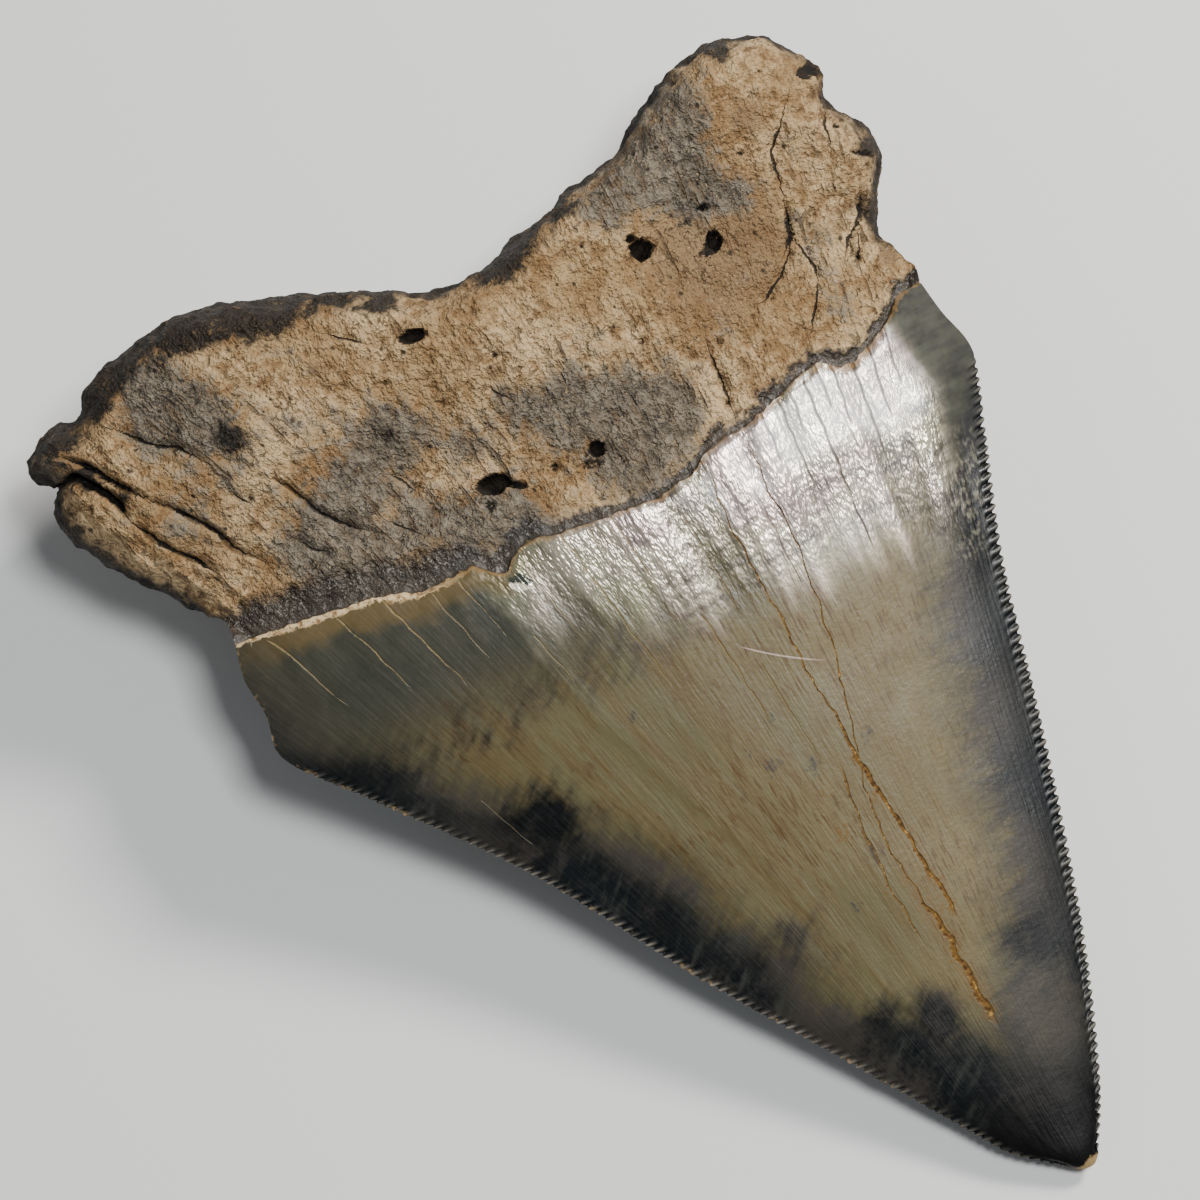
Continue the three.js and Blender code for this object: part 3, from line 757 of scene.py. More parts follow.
class Value:
    """A number of a shader, for use in ordinary arithmetic."""

    def __init__(self, tree, socket):
        self.tree = tree
        self.socket = socket

    def math(self, operation, *values):
        made = self.tree.nodes.new("ShaderNodeMath")
        made.operation = operation
        for socket, value in zip(made.inputs, values):
            feed(self.tree, socket, value)
        return Value(self.tree, made.outputs[0])

    def __add__(self, other):
        return self.math("ADD", self, other)

    def __radd__(self, other):
        return self.math("ADD", other, self)

    def __sub__(self, other):
        return self.math("SUBTRACT", self, other)

    def __rsub__(self, other):
        return self.math("SUBTRACT", other, self)

    def __mul__(self, other):
        return self.math("MULTIPLY", self, other)

    def __rmul__(self, other):
        return self.math("MULTIPLY", other, self)

    def __truediv__(self, other):
        return self.math("DIVIDE", self, other)

    def __abs__(self):
        return self.math("ABSOLUTE", self)

    def most(self, other):
        return self.math("MAXIMUM", self, other)

    def least(self, other):
        return self.math("MINIMUM", self, other)


class Finish:
    """Builds the node tree of one material."""

    def __init__(self, name):
        self.material = bpy.data.materials.new(name)
        self.material.use_nodes = True
        self.tree = self.material.node_tree
        self.shader = self.tree.nodes["Principled BSDF"]
        self.colour = None

    def node(self, kind, settings=None, sockets=None):
        made = self.tree.nodes.new(kind)
        for name, value in (settings or {}).items():
            setattr(made, name, value)
        for name, value in (sockets or {}).items():
            feed(self.tree, made.inputs[name], value)
        return made

    def value(self, socket):
        return Value(self.tree, socket)

    def parts(self, vector):
        made = self.node("ShaderNodeSeparateXYZ", None, {0: vector})
        return [self.value(socket) for socket in made.outputs]

    def stored(self, name):
        """The three numbers of one of the mesh's attributes."""
        made = self.node("ShaderNodeAttribute", {"attribute_name": name})
        return self.parts(made.outputs["Vector"])

    def place(self, x, y, z=0.0):
        return self.node("ShaderNodeCombineXYZ", None, {0: x, 1: y, 2: z}).outputs[0]

    def smooth(self, low, high, value):
        settings = {"interpolation_type": "SMOOTHSTEP"}
        sockets = {"Value": value, "From Min": low, "From Max": high}
        return self.value(self.node("ShaderNodeMapRange", settings, sockets).outputs[0])

    def set(self, name, value):
        feed(self.tree, self.shader.inputs[name], value)

    def apply(self, roughness, height):
        """Feeds the shader, with height in mm."""
        self.set("Base Color", self.colour)
        self.set("Roughness", roughness)
        bump = self.node("ShaderNodeBump", None, {"Distance": MM, "Height": height})
        self.set("Normal", bump.outputs[0])

    def cover(self, share, tint):
        """Lays a colour over what is there."""
        self.colour = self.mix(share, self.colour, tint)

    def noise(self, place, detail, roughness=0.55):
        """Noise of about -1 to 1."""
        sockets = {"Vector": place, "Scale": 1.0, "Detail": detail, "Roughness": roughness}
        return self.value(self.node("ShaderNodeTexNoise", None, sockets).outputs[0]) * 4 - 2

    def mix(self, share, first, second):
        sockets = {0: share, 6: first, 7: second}
        return self.node("ShaderNodeMix", {"data_type": "RGBA"}, sockets).outputs[2]

    def blend(self, share, first, second):
        return first + (second - first) * share

    def curve(self, value, points):
        """A smooth graph through given points, from 0 to 1 both ways."""
        made = self.node("ShaderNodeFloatCurve", None, {"Value": value})
        graph = made.mapping.curves[0].points
        for point, place in zip((graph[0], graph[-1]), (points[0], points[-1])):
            point.location = place
        for place in points[1:-1]:
            graph.new(*place)
        made.mapping.update()
        return self.value(made.outputs[0])

    def streaks(self, across, along, spacing, size, share, seed):
        """Thin spindles strewn along the fibres: spacing and half size both ways, in mm."""
        place = self.place(across / spacing[0] + seed, along / spacing[1] - seed)
        settings = {"voronoi_dimensions": "2D", "feature": "F1"}
        made = self.node("ShaderNodeTexVoronoi", settings, {"Vector": place, "Scale": 1.0})
        here = self.parts(place)
        there = self.parts(made.outputs["Position"])
        chance, shade, _ = self.parts(made.outputs["Color"])
        dx = (here[0] - there[0]) * (spacing[0] / size[0])
        dy = (here[1] - there[1]) * (spacing[1] / size[1])
        inside = self.smooth(1, 0.35, dx * dx + dy * dy)
        return inside * self.smooth(1 - share, 1.02 - share, chance) * (0.5 + 0.5 * shade)


class Coordinates:
    """What the mesh tells the finish about each place."""

    def __init__(self, finish):
        self.finish = finish
        self.x, self.y, self.w = finish.stored("drawn")
        self.fan, self.past, side = finish.stored("grain")
        self.left, self.right, self.lift = finish.stored("edge")
        self.cracks = finish.stored("cracks")
        self.pit, self.crack = finish.stored("relief")[:2]
        self.dark, self.grey, self.brown = finish.stored("stains")
        self.on_face = finish.smooth(-0.5, 0.5, side)

    def speckle(self, size, detail, roughness=0.55):
        place = self.finish.place(self.x / size, self.y / size, self.w / size)
        return self.finish.noise(place, detail, roughness)

    def fibres(self, across, along, detail):
        """Speckle drawn out along the fanning fibres."""
        place = self.finish.place(self.fan / across, self.y / along, self.w / (across * 5))
        return self.finish.noise(place, detail)


OLIVE = paint(80, 76, 53)
WARM_OLIVE = paint(77, 64, 36)
PALE_OLIVE = paint(85, 79, 56)
LIGHT_OLIVE = paint(106, 92, 55)
SLATE = paint(46, 50, 45)
SHOULDER_GREY = paint(56, 60, 52)
OCHRE = paint(93, 65, 22)
PALE_OCHRE = paint(152, 118, 60)
OCHRE_HAZE = paint(104, 86, 48)
DEEP_OCHRE = paint(54, 34, 10)
FLECK = paint(46, 31, 10)
GOLD = paint(122, 104, 66)
UMBER = paint(52, 36, 18)
# The silvers colour the painted highlight below the neck, partly the enamel's own pale grey; the
# brightest is also the chip's painted highlight, the rosy one also the scratch, the dull one also
# the painted glints
HIGHLIGHT_SILVER = paint(208, 199, 180)
DULL_SILVER = paint(126, 121, 104)
ROSY_SILVER = paint(206, 186, 180)
GREENISH_SILVER = paint(186, 188, 156)
NAVY = paint(4, 8, 11)
CHARCOAL = paint(25, 25, 23)
EDGE_OLIVE = paint(46, 45, 34)
MAUVE = paint(47, 43, 39)
WISP = paint(62, 58, 49)
TEAL = paint(1, 3, 4)
SMUDGE = paint(30, 32, 34)
SPOT = paint(88, 64, 18)
TIP_BLACK = paint(4, 4, 4)
CREAM = paint(188, 166, 128)
AMBER = paint(120, 90, 48)
TIP_CREAM = paint(150, 126, 88)
# Painted highlight for the serrations' crests
RIDGE_HIGHLIGHT = paint(130, 124, 112)

SAND = paint(152, 127, 91)
LIGHT_SAND = paint(181, 156, 119)
BROWN = paint(112, 86, 55)
GREY = paint(109, 103, 92)
DARK_GREY = paint(60, 57, 51)
BLACK_BROWN = paint(16, 13, 10)
PIT_SHADE = paint(12, 9, 7)
RUST = paint(146, 92, 40)
NECK_GREY = paint(38, 37, 36)
NECK_GLINT = paint(116, 112, 106)

# Width of the dark margin along each edge, against the distance from the neck. The first
# number is a share of 64 mm, and the second one of 12 mm.
MARGIN_REACH = 64
MARGIN_WIDTH = 12
LEFT_MARGIN = (
    (0, 0.08), (0.08, 0.17), (0.15, 0.3), (0.19, 0.41), (0.25, 0.51), (0.31, 0.52), (0.4, 0.57),
    (0.52, 0.72), (0.62, 0.55), (0.67, 0.64), (0.72, 0.56), (0.78, 0.43), (0.82, 0.62),
    (0.87, 0.75), (1, 1),
)
RIGHT_MARGIN = (
    (0, 0), (0.1, 0.03), (0.16, 0.18), (0.23, 0.36), (0.31, 0.52), (0.45, 0.58), (0.61, 0.54),
    (0.69, 0.49), (0.77, 0.54), (0.83, 0.66), (0.9, 0.8), (1, 1),
)


def fissure_lines(finish, at, wander):
    """How strongly the fine cracks of the enamel show, from a table of listed ones: the
    stops of a ramp hold each crack's fibre, start and end as shares of the table's span."""
    made = finish.node("ShaderNodeValToRGB", None, {0: (at.fan - FIRST_FIBRE) / TABLE_SPAN})
    ramp = made.color_ramp
    ramp.interpolation = "CONSTANT"
    previous = FIRST_FIBRE
    for index, (fibre, start, end, strength) in enumerate(FISSURES):
        stop = 0 if index == 0 else ((previous + fibre) / 2 - FIRST_FIBRE) / TABLE_SPAN
        element = ramp.elements[0] if index == 0 else ramp.elements.new(stop)
        element.position = stop
        shares = [value / TABLE_SPAN for value in (fibre - FIRST_FIBRE, start, end)]
        element.color = (*shares, strength)
        previous = fibre
    ramp.elements.remove(ramp.elements[-1])
    fibre, start, end = [share * TABLE_SPAN for share in finish.parts(made.outputs[0])]
    away = abs(at.fan - (fibre + FIRST_FIBRE) + wander)
    along = (at.y * -1 - start) / (end - start)
    width = 0.13 - 0.06 * along + 0.05 * finish.smooth(0, 6, at.fan)
    within = finish.smooth(-0.02, 0.02, along) * finish.smooth(1.02, 0.9, along)
    line = finish.smooth(1, 0.25, away / width) * within
    return line * finish.value(made.outputs[1]) * at.on_face


def long_cracks(finish, at, wander, ragged):
    """The three long cracks: how much of the line shows, and how wide ochre spreads by it."""
    a, b, c = [abs(offset + wander) for offset in at.cracks]
    thick_a = 0.07 + 0.1 * finish.smooth(-26, -35, at.y) * (1.2 + ragged)
    thick_b = 0.06 + 0.2 * finish.smooth(-44.5, -49, at.y) * (1.15 + 0.5 * ragged)
    thick_c = 0.05 + 0.05 * (1 + ragged)
    within_a = finish.smooth(-5.2, -7, at.y) * finish.smooth(-48.6, -47, at.y)
    within_b = finish.smooth(-5, -7, at.y) * finish.smooth(-58, -56, at.y)
    within_c = finish.smooth(-32, -34, at.y) * finish.smooth(-49, -47, at.y)
    line_a = finish.smooth(1.1, 0.5, a / thick_a) * within_a
    line_b = finish.smooth(1.1, 0.5, b / thick_b) * within_b
    line_c = finish.smooth(1.1, 0.5, c / thick_c) * within_c * 0.8
    halo_a = finish.smooth(0.9, 0.1, a) * within_a * finish.smooth(-30, -38, at.y) * 0.5
    halo_b = finish.smooth(1.2, 0.2, b) * within_b * finish.smooth(-40, -47, at.y) * 0.8
    halo = halo_a.most(halo_b) * finish.smooth(-0.6, 0.6, ragged + 0.2)
    return line_a.most(line_b).most(line_c) * at.on_face, halo * at.on_face


def scratch(finish, at):
    """The fine bowed scratch across the middle of the crown."""
    dx, dy = at.x - SCRATCH_START[0], at.y - SCRATCH_START[1]
    along = dx * SCRATCH_COURSE[0] + dy * SCRATCH_COURSE[1]
    beside = dy * SCRATCH_COURSE[0] - dx * SCRATCH_COURSE[1]
    away = abs(beside + SCRATCH_BOW * along * (1 - along / SCRATCH_LENGTH))
    within = finish.smooth(0, 1.5, along) * finish.smooth(SCRATCH_LENGTH, 5.5, along)
    return finish.smooth(0.09, 0.03, away) * within


def flaked(finish, at, grit):
    """The chip in the enamel's edge: where it is, and which part of it catches the light, which
    gets a painted highlight, the rest painted shade.
    """
    sine, cosine = math.sin(VIEW_TURN), math.cos(VIEW_TURN)
    dx, dy = at.x - CHIP_PLACE[0], at.y - CHIP_PLACE[1]
    across = dx * cosine - dy * sine
    up = dx * sine + dy * cosine + 0.2 * grit
    chip = finish.smooth(1.1, 0.7, across * across + 2 * up * up + 0.3 * grit)
    return chip, finish.smooth(0, -0.25, up)


def enamel_material(settings):
    """The crown: olive and slate in the middle, silvery near the neck, partly as a painted
    highlight, dark margins.
    """
    finish = Finish("enamel")
    at = Coordinates(finish)
    fibre = at.fibres(0.35, 3.5, 1)
    coarse_fibre = at.fibres(1.5, 13, 1)
    cloud = at.speckle(9, 0)
    mottle = at.speckle(2.2, 2)
    drift = at.speckle(1.7, 0)
    grit = at.speckle(0.4, 1)
    crinkle = at.fibres(0.32, 0.7, 1)
    face = at.on_face
    reach = (at.y * -1) / MARGIN_REACH

    # The ground: olive, warmer and lighter down the right, slate on the left and the shoulder
    pale = finish.smooth(-0.9, 1.1, cloud + 0.5 * coarse_fibre)
    finish.colour = finish.mix(pale, OLIVE, PALE_OLIVE)
    warm = finish.smooth(-2, -16, at.y) * finish.smooth(-66, -40, at.y)
    warm = warm * finish.smooth(-0.8, 0.9, coarse_fibre + 0.5 * mottle + 0.1)
    finish.cover(warm * 0.7, WARM_OLIVE)
    light = finish.smooth(-6, 20, at.x + 4 * cloud)
    finish.cover(light * 0.42, LIGHT_OLIVE)
    slate = finish.smooth(-17, -9, at.y) * finish.smooth(4, -12, at.x)
    slate = slate * finish.smooth(-3.2, -1.2, cloud + 0.5 * fibre)
    finish.cover(slate * 0.83, SLATE)
    shoulder = finish.smooth(6.2, 3, at.right + 0.5 * mottle) * finish.smooth(-20, -11, at.y)
    shoulder = shoulder * face
    finish.cover(shoulder * 0.9, SHOULDER_GREY)

    # Silver below the neck, in pleats, and reaching further down on the right: partly the enamel's
    # own pale grey, partly a painted highlight of the glare
    low = -4.7 - (at.x + 5) * 0.3
    pleat = at.fibres(3.2, 45, 0)
    silver_and_sheen = at.past - low + 2 * coarse_fibre + 1.8 * pleat + 0.7 * mottle
    silver_and_sheen = finish.smooth(-4.9, 3.2, silver_and_sheen)
    silver_and_sheen = silver_and_sheen * finish.smooth(-15, -8, at.x + 1.5 * mottle) * (1 - shoulder) * face
    fold = finish.smooth(-1.1, 0.4, 0.8 * coarse_fibre + 0.9 * pleat + 0.2 * mottle + 0.2 * fibre)
    sheen_colour = finish.mix(finish.smooth(0.1, 0.9, cloud + 0.6 * mottle), HIGHLIGHT_SILVER, ROSY_SILVER)
    sheen_colour = finish.mix(finish.smooth(0, -0.9, cloud + 0.6 * mottle), sheen_colour, GREENISH_SILVER)
    sheen_colour = finish.mix(fold, DULL_SILVER, sheen_colour)
    finish.cover(silver_and_sheen * 0.8, sheen_colour)

    # An ochre haze beside the neck on the left, then the grain of light and dark fibres
    band = finish.smooth(-2.6, -1, at.past + 0.7 * mottle) * finish.smooth(-5, -11, at.x)
    finish.cover(band * 0.75 * face, OCHRE_HAZE)
    grained = 0.26 - 0.18 * slate
    finish.cover(finish.smooth(0.1, 1.3, fibre) * grained, LIGHT_OLIVE)
    finish.cover(finish.smooth(-0.2, -1.3, fibre) * grained, UMBER)

    # Flecks, smudges and spots of the middle
    centre = finish.smooth(-3, -8, at.past) * finish.smooth(-62, -52, at.y)
    centre = centre * (1 - silver_and_sheen * 0.7) * (1 - slate * 0.9)
    centre = centre * (0.3 + 0.7 * finish.smooth(-0.5, 0.6, cloud + 0.5 * mottle))
    wander = at.fan + 0.25 * mottle
    dashes = finish.smooth(0.3, 0.9, at.fibres(0.24, 1.5, 0) + 0.4 * mottle)
    flecks = finish.streaks(wander, at.y, (0.95, 2.9), (0.13, 0.9), 0.6, 3.1)
    flecks = flecks.most(dashes * 0.7) * centre
    finish.cover(flecks * 0.9, finish.mix(0.35, FLECK, OCHRE))
    smudge = finish.smooth(0.4, 1.1, at.dark + 0.35 * grit + 0.5 * fibre)
    finish.cover(smudge * 0.75 * finish.smooth(0.1, 0.4, at.dark), SMUDGE)
    spot = finish.smooth(0.6, 1.1, at.brown + 0.8 * grit + 0.3 * mottle)
    finish.cover(spot * 0.8 * finish.smooth(0.1, 0.3, at.brown), SPOT)

    # The dark margins, feathered inward, which meet at the tip, and painted glints over the right
    # one
    on_left = finish.smooth(-3, 3, at.right - at.left)
    along_edge = finish.blend(on_left, at.y, at.x * 0.65 - at.y * 0.76)
    edge = at.left.least(at.right)
    fringe = finish.noise(finish.place(along_edge / 0.9, edge / 4, 0), 2)
    feather = (1.1 * fringe + mottle + 0.3 * grit) * (1 - 0.75 * slate)
    left_width = finish.curve(reach, LEFT_MARGIN) * MARGIN_WIDTH
    right_width = finish.curve(reach, RIGHT_MARGIN) * MARGIN_WIDTH
    inside = (left_width - at.left).most(right_width - at.right)
    blob = (at.grey - 0.5) * finish.smooth(-16, -20, at.y)
    tip = (at.y + 59) / -2
    inside = inside.most(tip * 2)
    haze = finish.smooth(-5, 0.8, inside + feather)
    soft = 1 + 0.9 * slate
    margin = (inside + feather).most(4 * blob + 0.8 * feather) / soft
    margin = finish.smooth(-1.5, 2.2, margin)
    finish.cover(haze * 0.65, EDGE_OLIVE)
    dark = finish.mix(finish.smooth(-0.8, 1.2, cloud + 0.8 * fringe + 0.4 * grit), NAVY, CHARCOAL)
    dark = finish.mix(finish.smooth(-0.1, 1.1, fringe) * on_left * 0.6, dark, SLATE)
    smoky = finish.smooth(4.6, 0.6, inside + feather) * finish.smooth(-1.1, 0.4, cloud + mottle)
    dark = finish.mix(smoky * 0.75, dark, finish.mix(on_left, MAUVE, WISP))
    dark = finish.mix(finish.smooth(-0.4, 0.5, blob + 0.25 * feather), dark, TEAL)
    wisp_x, wisp_y = (at.x - 12) / 4, (at.y + 58) / 5.5
    wisp = wisp_x * wisp_x + wisp_y * wisp_y + 0.7 * mottle + 0.3 * fringe
    dark = finish.mix(finish.smooth(1.7, -0.5, wisp) * 0.8 * face, dark, WISP)
    right_haze = finish.smooth(1.5, 4.5, at.right) * finish.smooth(-20, -28, at.y)
    right_haze = right_haze * finish.smooth(-0.4, 1, cloud + 0.7 * mottle + 0.3 * grit)
    dark = finish.mix(right_haze * 0.65, dark, MAUVE)
    dark = finish.mix(finish.smooth(-60.5, -67, at.y + mottle), dark, TIP_BLACK)
    finish.cover(margin, dark)
    # Painted glints: bright foil-like highlights over the right margin
    foil_glints = finish.smooth(6.5, 4.5, at.right + 0.5 * mottle) * finish.smooth(0.6, 1.6, at.right)
    foil_glints = foil_glints * finish.smooth(-25, -20, at.y) * finish.smooth(-11, -15, at.y) * face
    foil_glints = foil_glints * finish.smooth(-0.3, 1.4, crinkle + 0.5 * grit + 0.5 * mottle)
    finish.cover(foil_glints * 0.6, DULL_SILVER)
    finish.cover(finish.smooth(0.7, 1.5, grit) * (1 - margin) * 0.25, LIGHT_OLIVE)

    # Cracks, the scratch and the chip
    fissures = fissure_lines(finish, at, 0.12 * drift + 0.03 * grit)
    gold = finish.smooth(0, -12, at.fan)
    shown = fissures * finish.smooth(-1.3, 0.1, mottle + 0.7 * grit)
    finish.cover(shown * 0.9, finish.mix(gold, UMBER, GOLD))
    line, halo = long_cracks(finish, at, 0.16 * drift + 0.04 * grit, grit)
    finish.cover(halo * 0.6, OCHRE)
    ochre = finish.mix(finish.smooth(0, 0.8, grit), OCHRE, DEEP_OCHRE)
    ochre = finish.mix(finish.smooth(-0.3, -1, grit), ochre, PALE_OCHRE)
    finish.cover(line, ochre)
    finish.cover(scratch(finish, at) * face * 0.45, ROSY_SILVER)
    # The chip is painted in light and shade: a painted highlight on its lower part, grey painted
    # shade above
    chip, chip_highlight = flaked(finish, at, grit)
    chip_light_and_shade = finish.mix(chip_highlight, SHOULDER_GREY, HIGHLIGHT_SILVER)
    finish.cover(chip * face, chip_light_and_shade)

    # A painted highlight on the serrations' crests, worn places and the enamel's broken edge
    ridge = finish.smooth(0.0, 0.09, at.lift) * finish.smooth(1.4, 0.6, edge)
    glassy_highlight = on_left * finish.smooth(-24, -30, at.y) * finish.smooth(-60, -48, at.y)
    finish.cover(ridge * (0.45 + 0.5 * glassy_highlight), RIDGE_HIGHLIGHT)
    worn = finish.smooth(0.5, 0.05, at.left) * finish.smooth(0.1, 1, mottle + 0.5 * grit)
    finish.cover(worn * 0.5, TIP_CREAM)
    chipped = finish.smooth(-70.9, -71.3, at.y + 0.4 * mottle + 0.2 * grit)
    finish.cover(chipped * 0.8, TIP_CREAM)
    lip = finish.smooth(-10, -19, at.x)
    broken = finish.smooth(-0.28, -0.14, at.past + 0.2 * grit + 0.2 * mottle)
    rubbed = finish.mix(finish.smooth(-0.4, 0.9, grit), CREAM, BROWN)
    broken = broken * (0.5 + 0.5 * lip)
    finish.cover(broken, finish.mix(lip, AMBER, rubbed))

    # How it shines: wet-looking by the neck and down the right, dull in its cracks
    dull = line.most(broken).most(fissures * 0.7).most(shoulder * 0.5)
    roughness = 0.36 + 0.05 * fibre + 0.05 * mottle - 0.13 * silver_and_sheen
    roughness = finish.blend(dull, roughness, 0.8)
    gloss = finish.smooth(-5.6, 1, at.past - low) * finish.smooth(-14, -8, at.x)
    gloss = gloss.most(finish.smooth(-24, -12, at.y) * finish.smooth(7, 2, at.right))
    gloss = gloss * (1 - finish.smooth(5.2, 3.6, at.right) * finish.smooth(-17, -13, at.y)) * face
    pleated = 0.022 * crinkle + 0.06 * coarse_fibre + 0.1 * pleat
    height = 0.005 * fibre + 0.003 * grit + gloss * pleated
    height = (height - 0.07 * line - 0.05 * fissures) * settings.grain_depth
    finish.apply(roughness, height)
    finish.set("Metallic", silver_and_sheen * (0.45 - 0.45 * fissures))
    finish.set("Coat Weight", 0.03 + 0.14 * gloss + 0.3 * silver_and_sheen - 0.4 * dull)
    finish.set("Specular IOR Level", 0.24)
    finish.set("Coat Roughness", 0.16)
    return finish.material


def root_material(settings):
    """The root and the neck: crumbly bone in tan, grey and black, with painted shade darkest in its
    openings.
    """
    finish = Finish("bone")
    at = Coordinates(finish)
    cloud = at.speckle(8, 0)
    patches = at.speckle(3, 2)
    mottle = at.speckle(1.1, 3, 0.65)
    grit = at.speckle(0.3, 1, 0.65)
    fibre = at.fibres(0.5, 3.5, 1)
    bent = finish.place((at.fan + 0.6 * mottle) / 0.32, (at.y + 0.8 * patches) / 1.2, at.w / 1.5)
    ticks = finish.noise(bent, 1)
    face = finish.smooth(-10, -5, at.w + mottle)

    # The ground: sand and brown, with grey stains
    finish.colour = finish.mix(finish.smooth(-0.9, 1.1, patches + 0.8 * mottle), BROWN, SAND)
    finish.cover(finish.smooth(-0.4, 1.4, cloud + mottle) * 0.8, LIGHT_SAND)
    brown = finish.smooth(0.25, 0.8, at.brown + 0.3 * mottle)
    finish.cover(brown * 0.8, finish.mix(0.3, BROWN, DARK_GREY))
    rust = finish.smooth(0.9, 1.5, patches - 0.6 * mottle)
    finish.cover(rust * 0.36, RUST)
    stain = at.grey * 1.15 + 0.45 * patches + 0.45 * mottle + 0.2 * fibre
    hidden = cloud + 0.6 * patches + 0.3 * mottle
    grey = finish.blend(face, finish.smooth(0.1, 1, hidden), finish.smooth(0.25, 1.05, stain))
    tone = finish.mix(finish.smooth(-0.7, 1, mottle + 0.6 * grit), DARK_GREY, GREY)
    finish.cover(grey * 0.9, tone)
    finish.cover(finish.smooth(0.1, 1.1, fibre) * 0.35, BROWN)
    shade = finish.smooth(-0.3, -1.3, mottle + 0.4 * fibre)
    finish.cover(shade * 0.5, BLACK_BROWN)
    finish.cover(finish.smooth(0.3, 1.3, grit) * 0.55, BLACK_BROWN)
    finish.cover(finish.smooth(-0.4, -1.2, grit) * 0.5, LIGHT_SAND)

    # Black stains, and the dark side wall: partly black crust, partly painted shade
    dark = finish.smooth(0.35, 0.75, at.dark + 0.3 * patches + 0.3 * mottle)
    depth = at.w + 1.4 * patches + 0.6 * mottle
    wall_crust_and_shade = finish.smooth(-1.2, -4.2, depth) * finish.smooth(-12, -7.5, depth)
    wall_crust_and_shade = wall_crust_and_shade * finish.smooth(-1.2, 0, cloud + 0.5 * patches + finish.smooth(-7, -3, at.w) * 2)
    black = finish.mix(finish.smooth(0.3, 1.7, mottle + 0.7 * grit) * 0.9, BLACK_BROWN, BROWN)
    finish.cover(dark.most(wall_crust_and_shade) * 0.96, black)

    # The neck, dark grey with painted glints
    band_width = finish.blend(finish.smooth(-26, 2, at.x), BAND_LEFT, BAND_RIGHT)
    band_width = finish.blend(at.on_face, BAND_BACK, band_width)
    ragged = at.past + 0.55 * mottle + 0.4 * patches
    band = finish.smooth(1.35, 0.75, ragged / band_width)
    neck_glints = finish.smooth(0.35, 1.2, grit + 0.5 * fibre)
    neck = finish.mix(neck_glints * 0.8, NECK_GREY, NECK_GLINT)
    neck = finish.mix(finish.smooth(0, -1.1, mottle + 0.7 * grit) * 0.85, neck, BLACK_BROWN)
    finish.cover(band * 0.93, neck)

    # Pores, creases, cracks and vessel openings, with painted shade in them, blackest where the
    # mesh is cut deepest
    place = finish.place(at.fan / 0.95, at.y / 1.25, at.w / 1.1)
    cells = finish.node("ShaderNodeTexVoronoi", None, {"Vector": place, "Scale": 1.0})
    chance = finish.parts(cells.outputs["Color"])[0]
    radius = 0.08 + 0.22 * chance * chance * chance
    pores = finish.smooth(1, 0.35, finish.value(cells.outputs["Distance"]) / radius)
    torn = finish.smooth(-0.6, 0.5, cloud + 0.5 * mottle + 0.6 * at.grey)
    creases = finish.smooth(0.5, 0.85, ticks + 0.25 * mottle) * torn
    creases = creases.most(finish.smooth(0.6, 0.95, fibre + 0.2 * ticks) * torn)
    wander = 0.14 * mottle + 0.05 * grit
    width = 0.13 + 0.07 * mottle
    lines = [finish.smooth(1, 0.4, abs(offset + wander) / width) for offset in at.cracks]
    line = lines[0].most(lines[1]).most(lines[2]) * finish.smooth(0.3, 1.2, at.past)
    # Painted shade, darker where the pits and cracks of the mesh are deeper
    cut = finish.smooth(0.1, 0.55, at.pit * (1 + 0.6 * grit + 0.4 * mottle))
    cut = cut.most(finish.smooth(0.45, 0.8, at.crack))
    shaded_openings = (pores * 0.85).most(creases * 0.55).most(line * 0.94)
    finish.cover(shaded_openings, BLACK_BROWN)
    finish.cover(cut * 0.96, PIT_SHADE)

    roughness = 0.86 - 0.42 * band - 0.14 * dark
    height = 0.18 * mottle + 0.08 * grit + 0.07 * fibre
    height = height - 0.18 * creases - 0.3 * line
    height = height * finish.smooth(-1, 3, at.past) * settings.grain_depth
    finish.apply(roughness, height)
    finish.set("Specular IOR Level", 0.25)
    return finish.material


def clear_selection():
    bpy.ops.object.select_all(action="DESELECT")


def add_sheet(name, height):
    """One flat sheet of the tooth, square until it is shaped."""
    bpy.ops.mesh.primitive_grid_add(
        x_subdivisions=COLUMNS,
        y_subdivisions=ROWS,
        size=2,
        location=(0, 0, height),
    )
    sheet = bpy.context.object
    sheet.name = name
    bpy.ops.object.transform_apply(location=True)
    return sheet


def flip_faces():
    bpy.ops.object.mode_set(mode="EDIT")
    bpy.ops.mesh.select_all(action="SELECT")
    bpy.ops.mesh.flip_normals()
    bpy.ops.object.mode_set(mode="OBJECT")


def close_rim():
    """Brings the open rims of both sheets together halfway, and joins them."""
    bpy.ops.object.mode_set(mode="EDIT")
    bpy.ops.mesh.select_mode(type="VERT")
    bpy.ops.mesh.select_all(action="DESELECT")
    bpy.ops.mesh.select_non_manifold()
    bpy.ops.transform.resize(value=(1, 1, 0), center_override=(0, 0, 0))
    bpy.ops.mesh.select_all(action="SELECT")
    bpy.ops.mesh.remove_doubles(threshold=CLOSE)
    bpy.ops.object.mode_set(mode="OBJECT")


def face_centres(mesh):
    centres = np.zeros(len(mesh.polygons) * 3, np.float32)
    mesh.polygons.foreach_get("center", centres)
    return centres.reshape(-1, 3)


